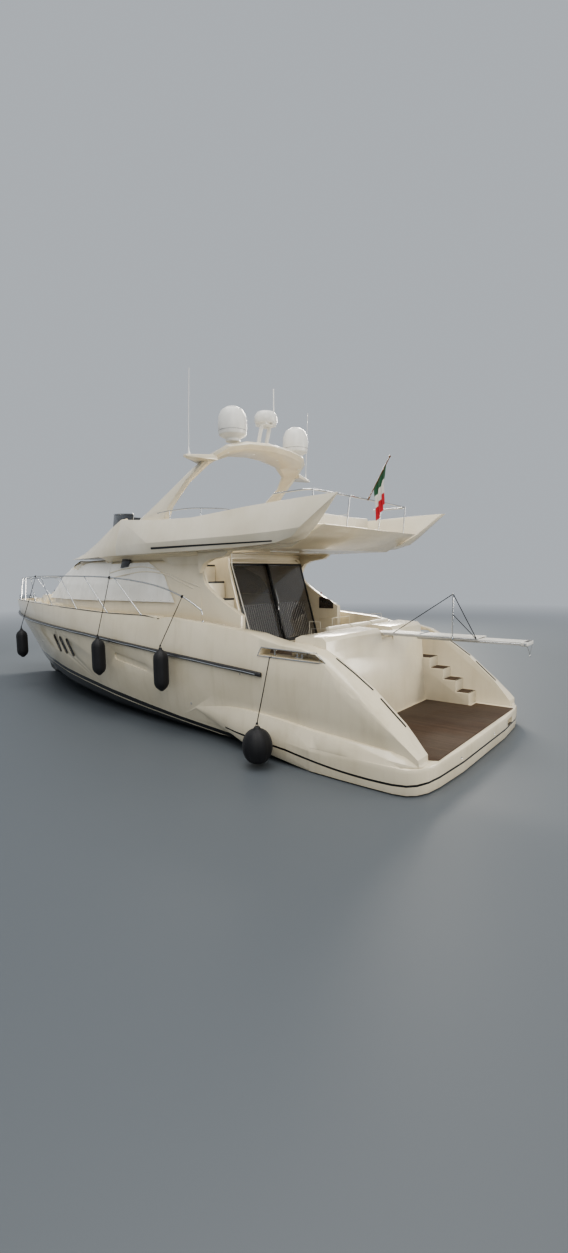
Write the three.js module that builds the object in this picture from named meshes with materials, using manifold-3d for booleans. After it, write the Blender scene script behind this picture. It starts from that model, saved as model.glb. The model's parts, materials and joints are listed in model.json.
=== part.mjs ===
// Flybridge motor yacht, built as an assembly of its real mouldings and fittings.
// Millimetres, +X to the bow, +Y to port, +Z up. The origin is on the waterline,
// below the aft edge of the swim platform, on the centreline. Everything is drawn
// from a datum ahead of and above that point, and moved by the datum as it is added.
import * as THREE from 'three';
import { mergeVertices } from 'three/addons/utils/BufferGeometryUtils.js';
import Module from 'manifold-3d';

const wasm = await Module();
wasm.setup();

// Driving dimensions.
const length = 17600;
const halfBeam = 2450;
const keelDepth = 980;
const cockpitSole = 1420;
const saloonFloor = 1500;
const platformTop = 300;
const platformAft = 1000;
const platformFoot = -120;
const datum = [-1000, 0, 120];
const gearX = 900;
const coamingInner = 2040;
const bulkheadX = 6250;
const transomX = 3300;
const roofZ = 3500;
const soffitZ = 3540;
const flyFloor = 3660;
const stairStep = 360;
const stairRun = 280;
// The saloon bulkhead leans forward: its aft face at a height.
const bulkheadLean = 0.29;
const leanX = (z, off = 0) => 5750 + bulkheadLean * (z - 1500) + off;
const leaning = (near, far, low, high) => [
  [leanX(low, near), low], [leanX(low, far), low], [leanX(high, far), high], [leanX(high, near), high],
];
const shaftY = 800;
const propRadius = 330;
const gap = 0.3;

const group = new THREE.Group();

// Small tools for solids.
function clean(geometry) {
  const copy = geometry.clone();
  copy.deleteAttribute('normal');
  copy.deleteAttribute('uv');
  const merged = mergeVertices(copy, 0.01);
  const kept = [];
  const index = merged.index.array;
  for (let i = 0; i < index.length; i += 3) {
    const [a, b, c] = [index[i], index[i + 1], index[i + 2]];
    if (a !== b && b !== c && a !== c) kept.push(a, b, c);
  }
  merged.setIndex(kept);
  return merged;
}

function volumeOf(position, index) {
  let sum = 0;
  const a = new THREE.Vector3();
  const b = new THREE.Vector3();
  const c = new THREE.Vector3();
  for (let i = 0; i < index.length; i += 3) {
    a.fromArray(position, 3 * index[i]);
    b.fromArray(position, 3 * index[i + 1]);
    c.fromArray(position, 3 * index[i + 2]);
    sum += a.dot(b.cross(c)) / 6;
  }
  return sum;
}

function solid(geometry) {
  const merged = clean(geometry);
  const position = new Float32Array(merged.attributes.position.array);
  const index = new Uint32Array(merged.index.array);
  if (volumeOf(position, index) < 0) {
    for (let i = 0; i < index.length; i += 3) {
      const keep = index[i];
      index[i] = index[i + 1];
      index[i + 1] = keep;
    }
  }
  return new wasm.Manifold(new wasm.Mesh({ numProp: 3, vertProperties: position, triVerts: index }));
}

function geometryOf(body) {
  const mesh = body.getMesh();
  const geometry = new THREE.BufferGeometry();
  geometry.setAttribute('position', new THREE.BufferAttribute(new Float32Array(mesh.vertProperties), 3));
  geometry.setIndex(new THREE.BufferAttribute(new Uint32Array(mesh.triVerts), 1));
  return geometry;
}

function add(name, body, color, roughness = 0.35, metalness = 0, shift = datum) {
  const material = new THREE.MeshStandardMaterial({ color, roughness, metalness });
  const geometry = geometryOf(body);
  geometry.translate(...shift);
  const mesh = new THREE.Mesh(geometry, material);
  mesh.name = name;
  group.add(mesh);
  return mesh;
}

function box(x0, x1, y0, y1, z0, z1) {
  const geometry = new THREE.BoxGeometry(x1 - x0, y1 - y0, z1 - z0);
  geometry.translate((x0 + x1) / 2, (y0 + y1) / 2, (z0 + z1) / 2);
  return solid(geometry);
}

// A closed skin through rings of points. Each ring has the same number of points.
function loft(rings, capStart = true, capEnd = true) {
  const position = [];
  const index = [];
  const count = rings[0].length;
  rings.forEach((ring) => ring.forEach((point) => position.push(...point)));
  for (let i = 0; i + 1 < rings.length; i += 1) {
    for (let j = 0; j < count; j += 1) {
      const k = (j + 1) % count;
      const a = i * count + j;
      const b = i * count + k;
      index.push(a, b, b + count, a, b + count, a + count);
    }
  }
  const cap = (ring, base, flip) => {
    const centre = new THREE.Vector3();
    ring.forEach((point) => centre.add(new THREE.Vector3(...point)));
    centre.divideScalar(ring.length);
    const normal = new THREE.Vector3();
    ring.forEach((point, j) => {
      const p = new THREE.Vector3(...point).sub(centre);
      const q = new THREE.Vector3(...ring[(j + 1) % ring.length]).sub(centre);
      normal.add(p.cross(q));
    });
    normal.normalize();
    const u = new THREE.Vector3(normal.y, normal.z, normal.x).cross(normal).normalize();
    const v = normal.clone().cross(u);
    const flat = ring.map((point) => {
      const p = new THREE.Vector3(...point).sub(centre);
      return new THREE.Vector2(p.dot(u), p.dot(v));
    });
    THREE.ShapeUtils.triangulateShape(flat, []).forEach(([a, b, c]) => {
      if (flip) index.push(base + c, base + b, base + a);
      else index.push(base + a, base + b, base + c);
    });
  };
  if (capStart) cap(rings[0], 0, true);
  if (capEnd) cap(rings[rings.length - 1], (rings.length - 1) * count, false);
  const geometry = new THREE.BufferGeometry();
  geometry.setAttribute('position', new THREE.Float32BufferAttribute(position, 3));
  geometry.setIndex(index);
  return solid(geometry);
}

// Half rings on the port side, mirrored to starboard. First and last point lie on the centreline.
function mirrorRing(half) {
  const back = half.slice(1, -1).reverse().map(([x, y, z]) => [x, -y, z]);
  return [...half, ...back];
}

function mirrored(body) {
  const mesh = body.getMesh();
  const position = new Float32Array(mesh.vertProperties);
  for (let i = 1; i < position.length; i += 3) position[i] = -position[i];
  const index = new Uint32Array(mesh.triVerts);
  for (let i = 0; i < index.length; i += 3) {
    const keep = index[i];
    index[i] = index[i + 1];
    index[i + 1] = keep;
  }
  return new wasm.Manifold(new wasm.Mesh({ numProp: 3, vertProperties: position, triVerts: index }));
}

function moved(body, dx, dy, dz) {
  const geometry = geometryOf(body);
  geometry.translate(dx, dy, dz);
  return solid(geometry);
}

// A prism from a side outline in X and Z, between two widths.
function sideProfile(points, y0, y1) {
  const shape = new THREE.Shape(points.map(([x, z]) => new THREE.Vector2(x, z)));
  const geometry = new THREE.ExtrudeGeometry(shape, { depth: y1 - y0, bevelEnabled: false });
  geometry.rotateX(Math.PI / 2);
  geometry.translate(0, y1, 0);
  return solid(geometry);
}

// A prism from a plan outline in X and Y, between two heights.
function planProfile(points, z0, z1) {
  const shape = new THREE.Shape(points.map(([x, y]) => new THREE.Vector2(x, y)));
  const geometry = new THREE.ExtrudeGeometry(shape, { depth: z1 - z0, bevelEnabled: false });
  geometry.translate(0, 0, z0);
  return solid(geometry);
}

// A round bar through points, with flat ends.
function bar(points, radius, sides = 8, steps = 0, closed = false) {
  const path = points.map((point) => new THREE.Vector3(...point));
  const curve = path.length === 2
    ? new THREE.LineCurve3(path[0], path[1])
    : new THREE.CatmullRomCurve3(path, closed, 'centripetal');
  const circle = [];
  for (let i = 0; i < sides; i += 1) {
    const turn = (2 * Math.PI * i) / sides;
    circle.push(new THREE.Vector2(radius * Math.cos(turn), radius * Math.sin(turn)));
  }
  const shape = new THREE.Shape(circle);
  const count = steps || (path.length === 2 ? 1 : 5 * (path.length - 1));
  return solid(new THREE.ExtrudeGeometry(shape, { steps: count, extrudePath: curve, bevelEnabled: false }));
}

function lathe(profile, segments, x, y, z, tilt = 0) {
  const geometry = new THREE.LatheGeometry(profile.map(([r, h]) => new THREE.Vector2(r, h)), segments);
  geometry.rotateX(Math.PI / 2);
  geometry.rotateY(tilt);
  geometry.translate(x, y, z);
  return solid(geometry);
}

function union(bodies) {
  return bodies.reduce((sum, body) => sum.add(body));
}

// Straight interpolation in a table of rows that start with x.
function along(table, x, column) {
  for (let i = 0; i + 1 < table.length; i += 1) {
    const [a, b] = [table[i], table[i + 1]];
    if (x <= b[0] || i + 2 === table.length) {
      const t = Math.min(Math.max((x - a[0]) / (b[0] - a[0]), 0), 1);
      return a[column] + t * (b[column] - a[column]);
    }
  }
  return 0;
}

// Long lines of the hull, from the stern to the stem: x, y, z at matching stations.
const keelLine = [
  [1900, 0, -720], [2600, 0, -780], [4300, 0, -860], [6500, 0, -930], [9000, 0, -keelDepth], [11500, 0, -900],
  [13300, 0, -720], [14600, 0, -450], [15400, 0, -220], [15900, 0, 0],
];
const chineLine = [
  [1850, 2090, -40], [2600, 2120, -40], [4300, 2130, -30], [6500, 2100, 0], [9000, 1960, 70], [11500, 1600, 190],
  [13300, 1160, 330], [14600, 740, 460], [15500, 370, 560], [16230, 0, 640],
];
const lowLine = [
  [1190, 2350, 240], [2600, 2330, 170], [4300, 2270, 180], [6500, 2230, 200], [9000, 2090, 260], [11500, 1760, 370],
  [13300, 1300, 500], [14700, 840, 640], [15700, 430, 760], [16450, 0, 850],
];
const midLine = [
  [1240, 2420, 620], [2500, 2440, 740], [4300, 2370, 790], [6500, 2340, 860], [9000, 2230, 980], [11500, 1960, 1090],
  [13400, 1540, 1190], [14900, 1060, 1290], [16000, 560, 1370], [16880, 0, 1430],
];
const rubLine = [
  [1240, halfBeam, 1120], [2500, halfBeam, 1220], [4300, 2400, 1360], [6500, 2380, 1500], [9000, 2310, 1660],
  [11500, 2120, 1790], [13500, 1770, 1870], [15100, 1300, 1930], [16400, 700, 1980], [17320, 0, 2010],
];
const sheerLine = [
  [1240, 2330, 1850], [2500, 2330, 1960], [4300, 2310, 2040], [6500, 2290, 2230], [9000, 2240, 2250],
  [11500, 2080, 2330], [13600, 1740, 2380], [15300, 1260, 2390], [16600, 680, 2370], [length, 0, 2340],
];
const stations = 19;

function sample(line, t) {
  const curve = new THREE.CatmullRomCurve3(line.map((point) => new THREE.Vector3(...point)), false, 'catmullrom', 0.4);
  const point = curve.getPoint(t);
  return [point.x, Math.max(point.y, 0), point.z];
}

function hullRings(lines, topZ) {
  const rings = [];
  for (let i = 0; i < stations; i += 1) {
    const t = i / (stations - 1);
    const half = lines.map((line) => sample(line, t));
    half[0][1] = 0;
    if (i === stations - 1) half.forEach((point) => { point[1] = 0; });
    const last = half[half.length - 1];
    half.push([last[0], 0, last[2] + topZ]);
    rings.push(mirrorRing(half));
  }
  const end = rings.length - 1;
  rings[end] = rings[end].map(([x, , z]) => [x, 0, z]);
  return rings;
}

// The hollow behind the transom: platform well, stair and cockpit, open to the stern.
const quarterCut = sideProfile([
  [-500, platformTop], [2300, platformTop], [transomX - 60, platformTop], [transomX, 1000], [transomX + 20, cockpitSole],
  [bulkheadX - 10, cockpitSole], [bulkheadX - 10, 4000], [-500, 4000],
], -coamingInner, coamingInner);
// The sweep of the quarters from the coaming down to the platform. Its inner edge is crisp and
// its outer side rolls over into the topsides: x, z, reach of the roll and its drop at the side.
const sweepEdge = [
  [-500, platformTop, 2450, 0], [1110, platformTop, 2450, 0], [1180, 390, 2450, 0], [1245, 462, 2450, 10],
  [1389, 641, 2450, 70], [1538, 811, 2455, 120], [1813, 1052, 2458, 160], [2066, 1277, 2455, 170],
  [2395, 1502, 2425, 150], [2738, 1712, 2380, 100], [2960, 1820, 2352, 55], [3250, 1890, 2345, 50],
  [3700, 1918, 2342, 50], [4050, 1982, 2338, 60], [4600, 2118, 2325, 70], [5100, 2213, 2315, 70],
  [5600, 2288, 2308, 60], [6300, 2300, 2298, 50], [6750, 2265, 2290, 30], [7050, 2180, 2285, 0],
];
const rollSteps = [[0, 0], [0.35, 0.063], [0.6, 0.2], [0.8, 0.4], [0.92, 0.608], [1, 1]];
function sweepRing(across, drop, side, reachTo) {
  const ring = sweepEdge.map(([x, z, reach, deep], i) => {
    const before = sweepEdge[Math.max(i - 1, 0)];
    const after = sweepEdge[Math.min(i + 1, sweepEdge.length - 1)];
    const run = new THREE.Vector2(after[0] - before[0], after[1] - before[1]).normalize();
    const y = reachTo || 2070 + across * (reach - 2070);
    return [x + run.y * deep * drop, side * y, z - run.x * deep * drop];
  });
  const end = side * (reachTo || 2070 + across * 250);
  return [...ring, [7150, end, 2900], [-500, end, 2900]];
}
const sweepCut = loft([
  sweepRing(1, 1, -1, 3000),
  ...rollSteps.slice().reverse().map(([across, drop]) => sweepRing(across, drop, -1)),
  ...rollSteps.map(([across, drop]) => sweepRing(across, drop, 1)),
  sweepRing(1, 1, 1, 3000),
]);
const saloonCut = box(bulkheadX - 60, 12200, -1690, 1690, saloonFloor, 2600);

// Swim platform: a rounded plan that carries on the flare below the quarters.
function platformRing(z, dx, dy, dySide) {
  const half = [
    [0, 0], [0, 1100], [30, 1520], [55, 1930], [105, 2220], [195, 2410], [315, 2510], [510, 2552], [900, 2558],
    [1400, 2552], [2000, 2532], [2000, 0],
  ];
  return mirrorRing(half.map(([x, y], i) => [
    platformAft + x + (i < 7 ? dx : 0), y > 0 ? y + (i < 7 ? dy : dySide) : 0, z,
  ]));
}
function platformBody() {
  return loft([
    platformRing(platformFoot, 34, -46, -46),
    platformRing(platformFoot + 24, 6, -10, -10),
    platformRing(60, 0, 0, -4),
    platformRing(platformTop - 70, 0, 8, 12),
    platformRing(platformTop - 16, 10, 0, 2),
    platformRing(platformTop, 44, -34, -2),
  ]);
}

// Flare on each flank, from a pointed tip amidships to the platform.
const flare = loft([
  [[1165, 2100, 60], [1165, 2320, 60], [1165, 2325, 200], [1165, 2310, 300], [1165, 2285, 306], [1165, 2100, 306]],
  [[1240, 2100, 60], [1240, 2420, 60], [1240, 2430, 200], [1240, 2405, 320], [1240, 2335, 352], [1240, 2100, 360]],
  [[1395, 2100, 60], [1395, 2510, 60], [1395, 2525, 210], [1395, 2495, 360], [1395, 2395, 425], [1395, 2100, 440]],
  [[1620, 2100, 60], [1620, 2545, 60], [1620, 2565, 220], [1620, 2525, 380], [1620, 2425, 470], [1620, 2100, 500]],
  [[2400, 2100, 60], [2400, 2545, 60], [2400, 2565, 240], [2400, 2530, 420], [2400, 2455, 520], [2400, 2100, 570]],
  [[3000, 2100, -140], [3000, 2492, -116], [3000, 2526, 60], [3000, 2544, 250], [3000, 2450, 550], [3000, 2100, 600]],
  [[3600, 2100, -110], [3600, 2480, -45], [3600, 2522, 110], [3600, 2532, 300], [3600, 2430, 610], [3600, 2100, 650]],
  [[4200, 2100, -60], [4200, 2440, 15], [4200, 2492, 170], [4200, 2496, 350], [4200, 2400, 650], [4200, 2100, 680]],
  [[4600, 2100, 0], [4600, 2405, 65], [4600, 2452, 210], [4600, 2452, 370], [4600, 2375, 660], [4600, 2100, 685]],
  [[5000, 2100, 110], [5000, 2350, 170], [5000, 2398, 300], [5000, 2396, 430], [5000, 2348, 640], [5000, 2100, 655]],
  [[5500, 2150, 280], [5500, 2302, 310], [5500, 2336, 390], [5500, 2336, 450], [5500, 2318, 565], [5500, 2150, 575]],
  [[5940, 2200, 440], [5940, 2288, 446], [5940, 2292, 460], [5940, 2294, 474], [5940, 2290, 486], [5940, 2200, 490]],
]);
let hull = loft(hullRings([keelLine, chineLine, lowLine, midLine, rubLine], 0), true, false);
hull = hull.add(flare).add(mirrored(flare));
hull = hull.subtract(box(-500, 3000 + gap, -3000, 3000, platformFoot - gap, platformTop + gap));
hull = hull.subtract(quarterCut).subtract(sweepCut).subtract(saloonCut);
for (const side of [-1, 1]) {
  hull = hull.subtract(bar([[1420 + gearX, side * shaftY, -760], [1420 + gearX, side * shaftY, -300]], 36, 10));
}
add('hull', hull, '#e9e4d6', 0.25);

// Deck moulding: from the rub rail to the bulwark top, with side decks, cockpit and foredeck.
const deckBase = rubLine.map(([x, y, z]) => [x, y, z + gap]);
let deck = loft(hullRings([deckBase.map(([x, , z]) => [x, 0, z]), deckBase, sheerLine], 0), true, false);
const wellRows = [];
for (let i = 0; i < 15; i += 1) {
  const x = 6000 + i * 780;
  wellRows.push([x, along(sheerLine, x, 2) - 215 + Math.max(x - 12500, 0) * 0.028, Math.max(along(sheerLine, x, 1) - 150, 40)]);
}
const well = wellRows.map(([x, floor, inner]) => mirrorRing([
  [x, 0, floor], [x, inner - 30, floor], [x, inner, 3000], [x, 0, 3000],
]));
deck = deck.subtract(quarterCut).subtract(sweepCut).subtract(saloonCut).subtract(loft(well));
for (const side of [-1, 1]) {
  deck = deck.subtract(sideProfile([[2800, 1665], [3000, 1785], [4130, 1805], [4200, 1680]], side * 2200 - 300, side * 2200 + 300));
}

// Coachroof ahead of the windscreen, with the hatch opening.
let coachroof = loft([
  mirrorRing([[14080, 0, 2150], [14080, 1040, 2150], [14080, 940, 2560], [14080, 0, 2620]]),
  mirrorRing([[14900, 0, 2150], [14900, 760, 2150], [14900, 660, 2530], [14900, 0, 2580]]),
  mirrorRing([[15600, 0, 2150], [15600, 420, 2150], [15600, 340, 2450], [15600, 0, 2480]]),
  mirrorRing([[15950, 0, 2150], [15950, 200, 2150], [15950, 140, 2350], [15950, 0, 2360]]),
]);
coachroof = coachroof.add(box(14270, 14930, -330, 330, 2500, 2614));
coachroof = coachroof.subtract(box(14300, 14900, -300, 300, 2380, 2700));
add('deck', deck, '#ece7da', 0.3);
add('coachroof', coachroof.subtract(moved(deck, 0, 0, gap)), '#ece7da', 0.3);
add('foredeck_hatch', union([
  box(14310, 14890, -290, 290, 2620, 2680),
  box(14330, 14870, -270, 270, 2590, 2630),
]), '#3a3d40', 0.2);

// Rub rails, a half round strip on each side.
function rubRail(side) {
  const rings = [];
  for (let i = 3.75; i <= 17; i += i < 4 ? 0.25 : 1) {
    const t = i / (stations - 1);
    const [x, y, z] = sample(rubLine, t);
    const [xa, ya] = sample(rubLine, Math.min(t + 0.01, 1));
    const run = new THREE.Vector2(xa - x, ya - y).normalize();
    const out = [-run.y, run.x];
    rings.push([[6, -42], [44, -30], [58, 0], [44, 30], [6, 42]].map(([d, h]) => [
      x + out[0] * d, side * (y + out[1] * d), z + h,
    ]));
  }
  return loft(rings);
}
const rubPort = moved(rubRail(1).subtract(deck).subtract(hull), gap, gap + 0.1, 0);
add('rub_rail_port', rubPort, '#4a4a4c', 0.4, 0.6);
add('rub_rail_stbd', mirrored(rubPort), '#4a4a4c', 0.4, 0.6);

// Swim platform with its teak deck.
const platform = platformBody().subtract(box(900, 1250, -1640, -1280, 80, 210));
add('swim_platform', platform, '#ece7da', 0.3);
add('platform_teak', planProfile([
  [1085, -1880], [1840, -1880], [1840, -1600], [2820, -1600], [2820, 1980], [1210, 1980], [1085, 1910],
], platformTop + gap, platformTop + 12), '#8a6f58', 0.7);

// Transom block behind the cockpit: two raised lobes, a notch with the ears for the
// gangway and, to starboard, the stair from the platform.
const blockFoot = platformTop + gap;
const lobe = (y0, y1) => sideProfile([
  [2960, 1500], [2990, 1950], [3060, 2010], [3500, 2030], [3620, 1980], [3690, 1500],
], y0, y1);
const gangY = -90;
const treads = [[1900, 550], [2180, 790], [2460, 1010], [2760, 1230]];
add('transom_block', union([
  sideProfile([
    [2860, blockFoot], [2900, 1000], [2960, 1700], [3010, 1820], [3700, 1820], [3700, cockpitSole + gap],
    [3319, cockpitSole + gap], [3299, 1000], [3239, blockFoot],
  ], -1620, coamingInner - 2),
  lobe(150, coamingInner - 2),
  lobe(-1620, -330),
  ...treads.map(([x, z]) => box(x, 3236, -coamingInner + 2, -1610, blockFoot, z)),
  box(3060, 3650, gangY - 234, gangY + 234, 1810, 1850),
  box(3210, 3270, gangY - 234, gangY - 224, 1840, 1960),
  box(3210, 3270, gangY + 224, gangY + 234, 1840, 1960),
]), '#e6e0cf', 0.35);

// Gangway: a tilting outer section between the ears on the block and a telescoping inner one.
add('gangway_outer', union([
  box(1150, 3200, gangY - 212, gangY - 182, 1880, 1945),
  box(1150, 3200, gangY + 182, gangY + 212, 1880, 1945),
  box(1150, 3200, gangY - 190, gangY + 190, 1925, 1945),
  box(3160, 3200, gangY - 190, gangY + 190, 1880, 1945),
  bar([[3240, gangY - 214, 1912], [3240, gangY + 214, 1912]], 14),
  box(3190, 3250, gangY - 205, gangY - 175, 1898, 1926),
  box(3190, 3250, gangY + 175, gangY + 205, 1898, 1926),
  bar([[1600, gangY + 222, 1900], [1600, gangY + 222, 2700]], 13),
  box(1585, 1615, gangY + 205, gangY + 236, 1890, 1935),
]), '#e8e6e0', 0.3, 0.1);
add('gangway_inner', union([
  box(380, 2300, gangY - 172, gangY - 142, 1850, 1915),
  box(380, 2300, gangY + 142, gangY + 172, 1850, 1915),
  box(380, 2300, gangY - 150, gangY + 150, 1895, 1915),
  box(360, 420, gangY - 200, gangY + 200, 1840, 1915),
]), '#e8e6e0', 0.3, 0.1);

// Deckhouse shell, open inside, with door, side window and windscreen openings.
// Columns: x, base half width, middle half width and height, shoulder half width and height, roof height.
const houseTable = [
  [bulkheadX, 1800, 1745, 2900, 1640, 3380, roofZ],
  [8000, 1800, 1750, 2900, 1640, 3380, roofZ],
  [9500, 1780, 1710, 2900, 1580, 3390, roofZ],
  [10800, 1700, 1600, 2900, 1420, 3410, roofZ + 8],
  [11900, 1580, 1440, 2900, 1240, 3390, roofZ + 4],
  [12900, 1370, 1200, 2760, 1020, 3090, 3170],
  [13600, 1150, 960, 2650, 800, 2850, 2920],
  [14050, 1010, 860, 2420, 700, 2540, 2600],
];
const wellFloor = (x) => along(wellRows, x, 1);
function house(out, from, to, base) {
  const every = [...houseTable.map((row) => row[0]), ...wellRows.map((row) => row[0])];
  const xs = every.filter((x) => x > from + 1 && x < to - 1).sort((a, b) => a - b);
  return loft([from, ...xs, to].map((x) => {
    const at = (column) => along(houseTable, x, column);
    const foot = base || wellFloor(x) + 1;
    return mirrorRing([
      [x, 0, foot], [x, at(1) + out, foot], [x, at(2) + out, at(3)], [x, at(4) + out * 0.8, at(5) + out * 0.6],
      [x, at(4) - 170, at(6) + out], [x, 0, at(6) + out],
    ]);
  }));
}
const nicheWall = box(bulkheadX + 1, 6980, 890, 1760, 1400, 3600);
let deckhouse = house(0, bulkheadX, 14050, 0).subtract(house(-70, bulkheadX - 10, 13300, 1300).subtract(nicheWall));
const bulkhead = sideProfile(leaning(0, 60, cockpitSole + gap, soffitZ - gap), -1690, 1690).intersect(house(-5, 5000, 6900, 1300));
const jamb = sideProfile([
  [leanX(cockpitSole + gap), cockpitSole + gap], [bulkheadX - 10 - gap, cockpitSole + gap], [bulkheadX - 10 - gap, saloonFloor + gap],
  [6300, saloonFloor + gap], [6420, soffitZ - gap], [leanX(soffitZ - gap), soffitZ - gap],
], 890, 950).intersect(house(-5, 5000, 6900, 1300));
const threshold = box(5760, bulkheadX - 10 - gap, -1690, 920, cockpitSole + gap, saloonFloor);
deckhouse = deckhouse.add(bulkhead).add(jamb).add(threshold);
deckhouse = deckhouse.add(box(bulkheadX, 6980, 890, 1689, saloonFloor + gap, 2100));
deckhouse = deckhouse.subtract(box(5400, 6920, 950, 1640, 1400, 3700));
deckhouse = deckhouse.subtract(sideProfile(leaning(-60, 140, saloonFloor + 30, 3330), -1640, 880));
// Side panels aft of the bulkhead, with the curved aft edge.
const panelShape = [
  [6260, cockpitSole + gap], [5150, cockpitSole + gap], [5150, 2290], [5300, 2365], [5500, 2465], [5750, 2605], [6000, 2765], [6150, 2890],
  [6225, 3010], [6249, 3120], [6262, 3120],
];
let panels = house(0, 5100, bulkheadX + 8, 1300).subtract(house(-150, 5000, bulkheadX + 100, 1300));
panels = panels.intersect(sideProfile(panelShape, -2500, 2500))
  .subtract(box(bulkheadX - 10 - gap, 7000, -3000, 3000, 1000, wellFloor(bulkheadX) + 3))
  .subtract(box(5000, bulkheadX + 20, -1646, 1646, 1400, 3600));
deckhouse = deckhouse.add(panels);
const brow = sideProfile([
  [5420, soffitZ - gap], [5560, 3440], [5950, 3390], [6150, 3310], [6235, 3200], [6262, 3120], [6300, 3120], [6300, soffitZ - gap],
], 1648, 1779);
deckhouse = deckhouse.add(brow).add(mirrored(brow));
const sideHole = (inset) => sideProfile([
  [7250 + inset, 2560 + inset], [7650 + inset, 3060 - inset], [8200, 3290 - inset], [11250 - inset, 3290 - inset],
  [11450 - inset, 2560 + inset],
], 1200, 2100);
const screenHole = (inset) => box(11980 + inset, 13240 - inset, -900 + inset, 900 - inset, 2500, 3800);
deckhouse = deckhouse.subtract(sideHole(0)).subtract(mirrored(sideHole(0))).subtract(screenHole(0));
add('deckhouse', deckhouse, '#ece7da', 0.3);
const pane = house(-20, 7000, 13280, 2300).subtract(house(-32, 7000, 13280, 2300));
const sidePane = pane.intersect(sideHole(3));
add('side_window_port', sidePane, '#16191c', 0.1);
add('side_window_stbd', mirrored(sidePane), '#16191c', 0.1);
add('windscreen', pane.intersect(screenHole(3)), '#16191c', 0.1);
const canvas = house(26, 6900, 13900, 2400).subtract(house(6, 6900, 13900, 2400));
const screenCover = canvas.intersect(box(9660, 13700, -3000, 3000, 2480, 3700))
  .subtract(box(9000, 11900, -1360, 1360, 3300, 3700));
add('windscreen_cover', screenCover, '#f1efea', 0.8);
const sideCover = canvas.intersect(sideProfile([
  [7050, 2500], [7450, 3080], [8050, 3395], [9655, 3395], [9655, 2500],
], 1300, 2200));
add('side_cover_port', sideCover, '#f1efea', 0.8);
add('side_cover_stbd', mirrored(sideCover), '#f1efea', 0.8);

// Saloon door: a fixed pane to port and a sliding leaf to starboard, aft of it.
add('door_fixed', sideProfile(leaning(25, 55, saloonFloor + 32, 3328), -400, 876), '#1d1f21', 0.15);
add('door_leaf', sideProfile(leaning(-44, -14, saloonFloor + 35, 3325), -1636, -330), '#1d1f21', 0.15);

// Stair from the cockpit up to the flybridge, in the port corner of the bulkhead.
const stairPoints = [[5500, cockpitSole + gap]];
for (let i = 0; i < 5; i += 1) {
  stairPoints.push([5500 + stairRun * i, saloonFloor + stairStep * (i + 1)]);
  stairPoints.push([5500 + stairRun * (i + 1), saloonFloor + stairStep * (i + 1)]);
}
stairPoints.push([6900, 2600], [6262, 1960], [6262, saloonFloor + gap * 2], [6230, saloonFloor + gap * 2], [6230, cockpitSole + gap]);
add('fly_stair', sideProfile(stairPoints, 985, 1635), '#e6e0cf', 0.35);

// Flybridge deck with the raked aft fascia and the stair opening.
let flyDeck = sideProfile([
  [3900, soffitZ], [8990, soffitZ], [8990, flyFloor], [3950, flyFloor], [3700, 3880], [3480, 3930], [3190, 3905],
], -1780, 1780);
flyDeck = flyDeck.subtract(box(5150, 6930, 960, 1650, 3400, 4200));
add('fly_deck', flyDeck, '#ece7da', 0.3);

// Flybridge wings: raked at the aft end, with a crease along the side.
function wing(side) {
  const rows = [
    [[3530, 2200, 3700], [3360, 2245, 3830], [2680, 2150, 4330], [2730, 2060, 4330], [3230, 1900, 3900], [3560, 1782, 3690]],
    [[3900, 2190, 3610], [3860, 2240, 3800], [3500, 2130, 4320], [3540, 2030, 4320], [3800, 1900, 3900], [3920, 1782, 3600]],
    [[4800, 2170, 3570], [4800, 2220, 3780], [4700, 2080, 4290], [4700, 1960, 4290], [4800, 1860, 3900], [4800, 1782, 3570]],
    [[6200, 2130, 3560], [6200, 2170, 3780], [6200, 2000, 4220], [6200, 1880, 4220], [6200, 1800, 3900], [6200, 1782, 3560]],
    [[7600, 2030, 3560], [7600, 2060, 3780], [7600, 1880, 4280], [7600, 1720, 4280], [7600, 1720, 3900], [7600, 1720, 3662]],
    [[8990, 1880, 3560], [8990, 1890, 3780], [8990, 1700, 4400], [8990, 1540, 4400], [8990, 1540, 3900], [8990, 1540, 3662]],
  ];
  const rings = rows.map((row) => row.map(([x, y, z]) => [x, y, z]));
  rings[4][5] = [7600, 1782, 3560];
  rings[5][5] = [8990, 1782, 3560];
  const body = loft(rings).subtract(box(7000, 9100, 1300, 1781 + 0.6, 3500, flyFloor + gap));
  return side > 0 ? body : mirrored(body);
}
const wingPort = wing(1);
add('wing_port', wingPort, '#efebe0', 0.3);
add('wing_stbd', mirrored(wingPort), '#efebe0', 0.3);

// Flybridge front: sloping brow ahead of the helm.
let flyFront = loft([
  mirrorRing([[8991, 0, 3560], [8991, 1880, 3560], [8991, 1890, 3780], [8991, 1700, 4400], [8991, 1540, 4440], [8991, 0, 4460]]),
  mirrorRing([[9700, 0, 3560], [9700, 1760, 3560], [9700, 1740, 3780], [9700, 1480, 4270], [9700, 1330, 4330], [9700, 0, 4360]]),
  mirrorRing([[10600, 0, 3560], [10600, 1580, 3560], [10600, 1520, 3700], [10600, 1330, 3960], [10600, 1180, 4050], [10600, 0, 4080]]),
  mirrorRing([[11400, 0, 3560], [11400, 1440, 3560], [11400, 1360, 3620], [11400, 1230, 3700], [11400, 1050, 3760], [11400, 0, 3790]]),
  mirrorRing([[11940, 0, 3560], [11940, 1280, 3560], [11940, 1270, 3566], [11940, 1200, 3575], [11940, 1000, 3585], [11940, 0, 3600]]),
]);
flyFront = flyFront.subtract(loft([
  mirrorRing([[8900, 0, flyFloor], [8900, 1540, flyFloor], [8900, 1540, 4600], [8900, 0, 4600]]),
  mirrorRing([[9600, 0, flyFloor], [9600, 1330, flyFloor], [9600, 1330, 4600], [9600, 0, 4600]]),
]));
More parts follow.
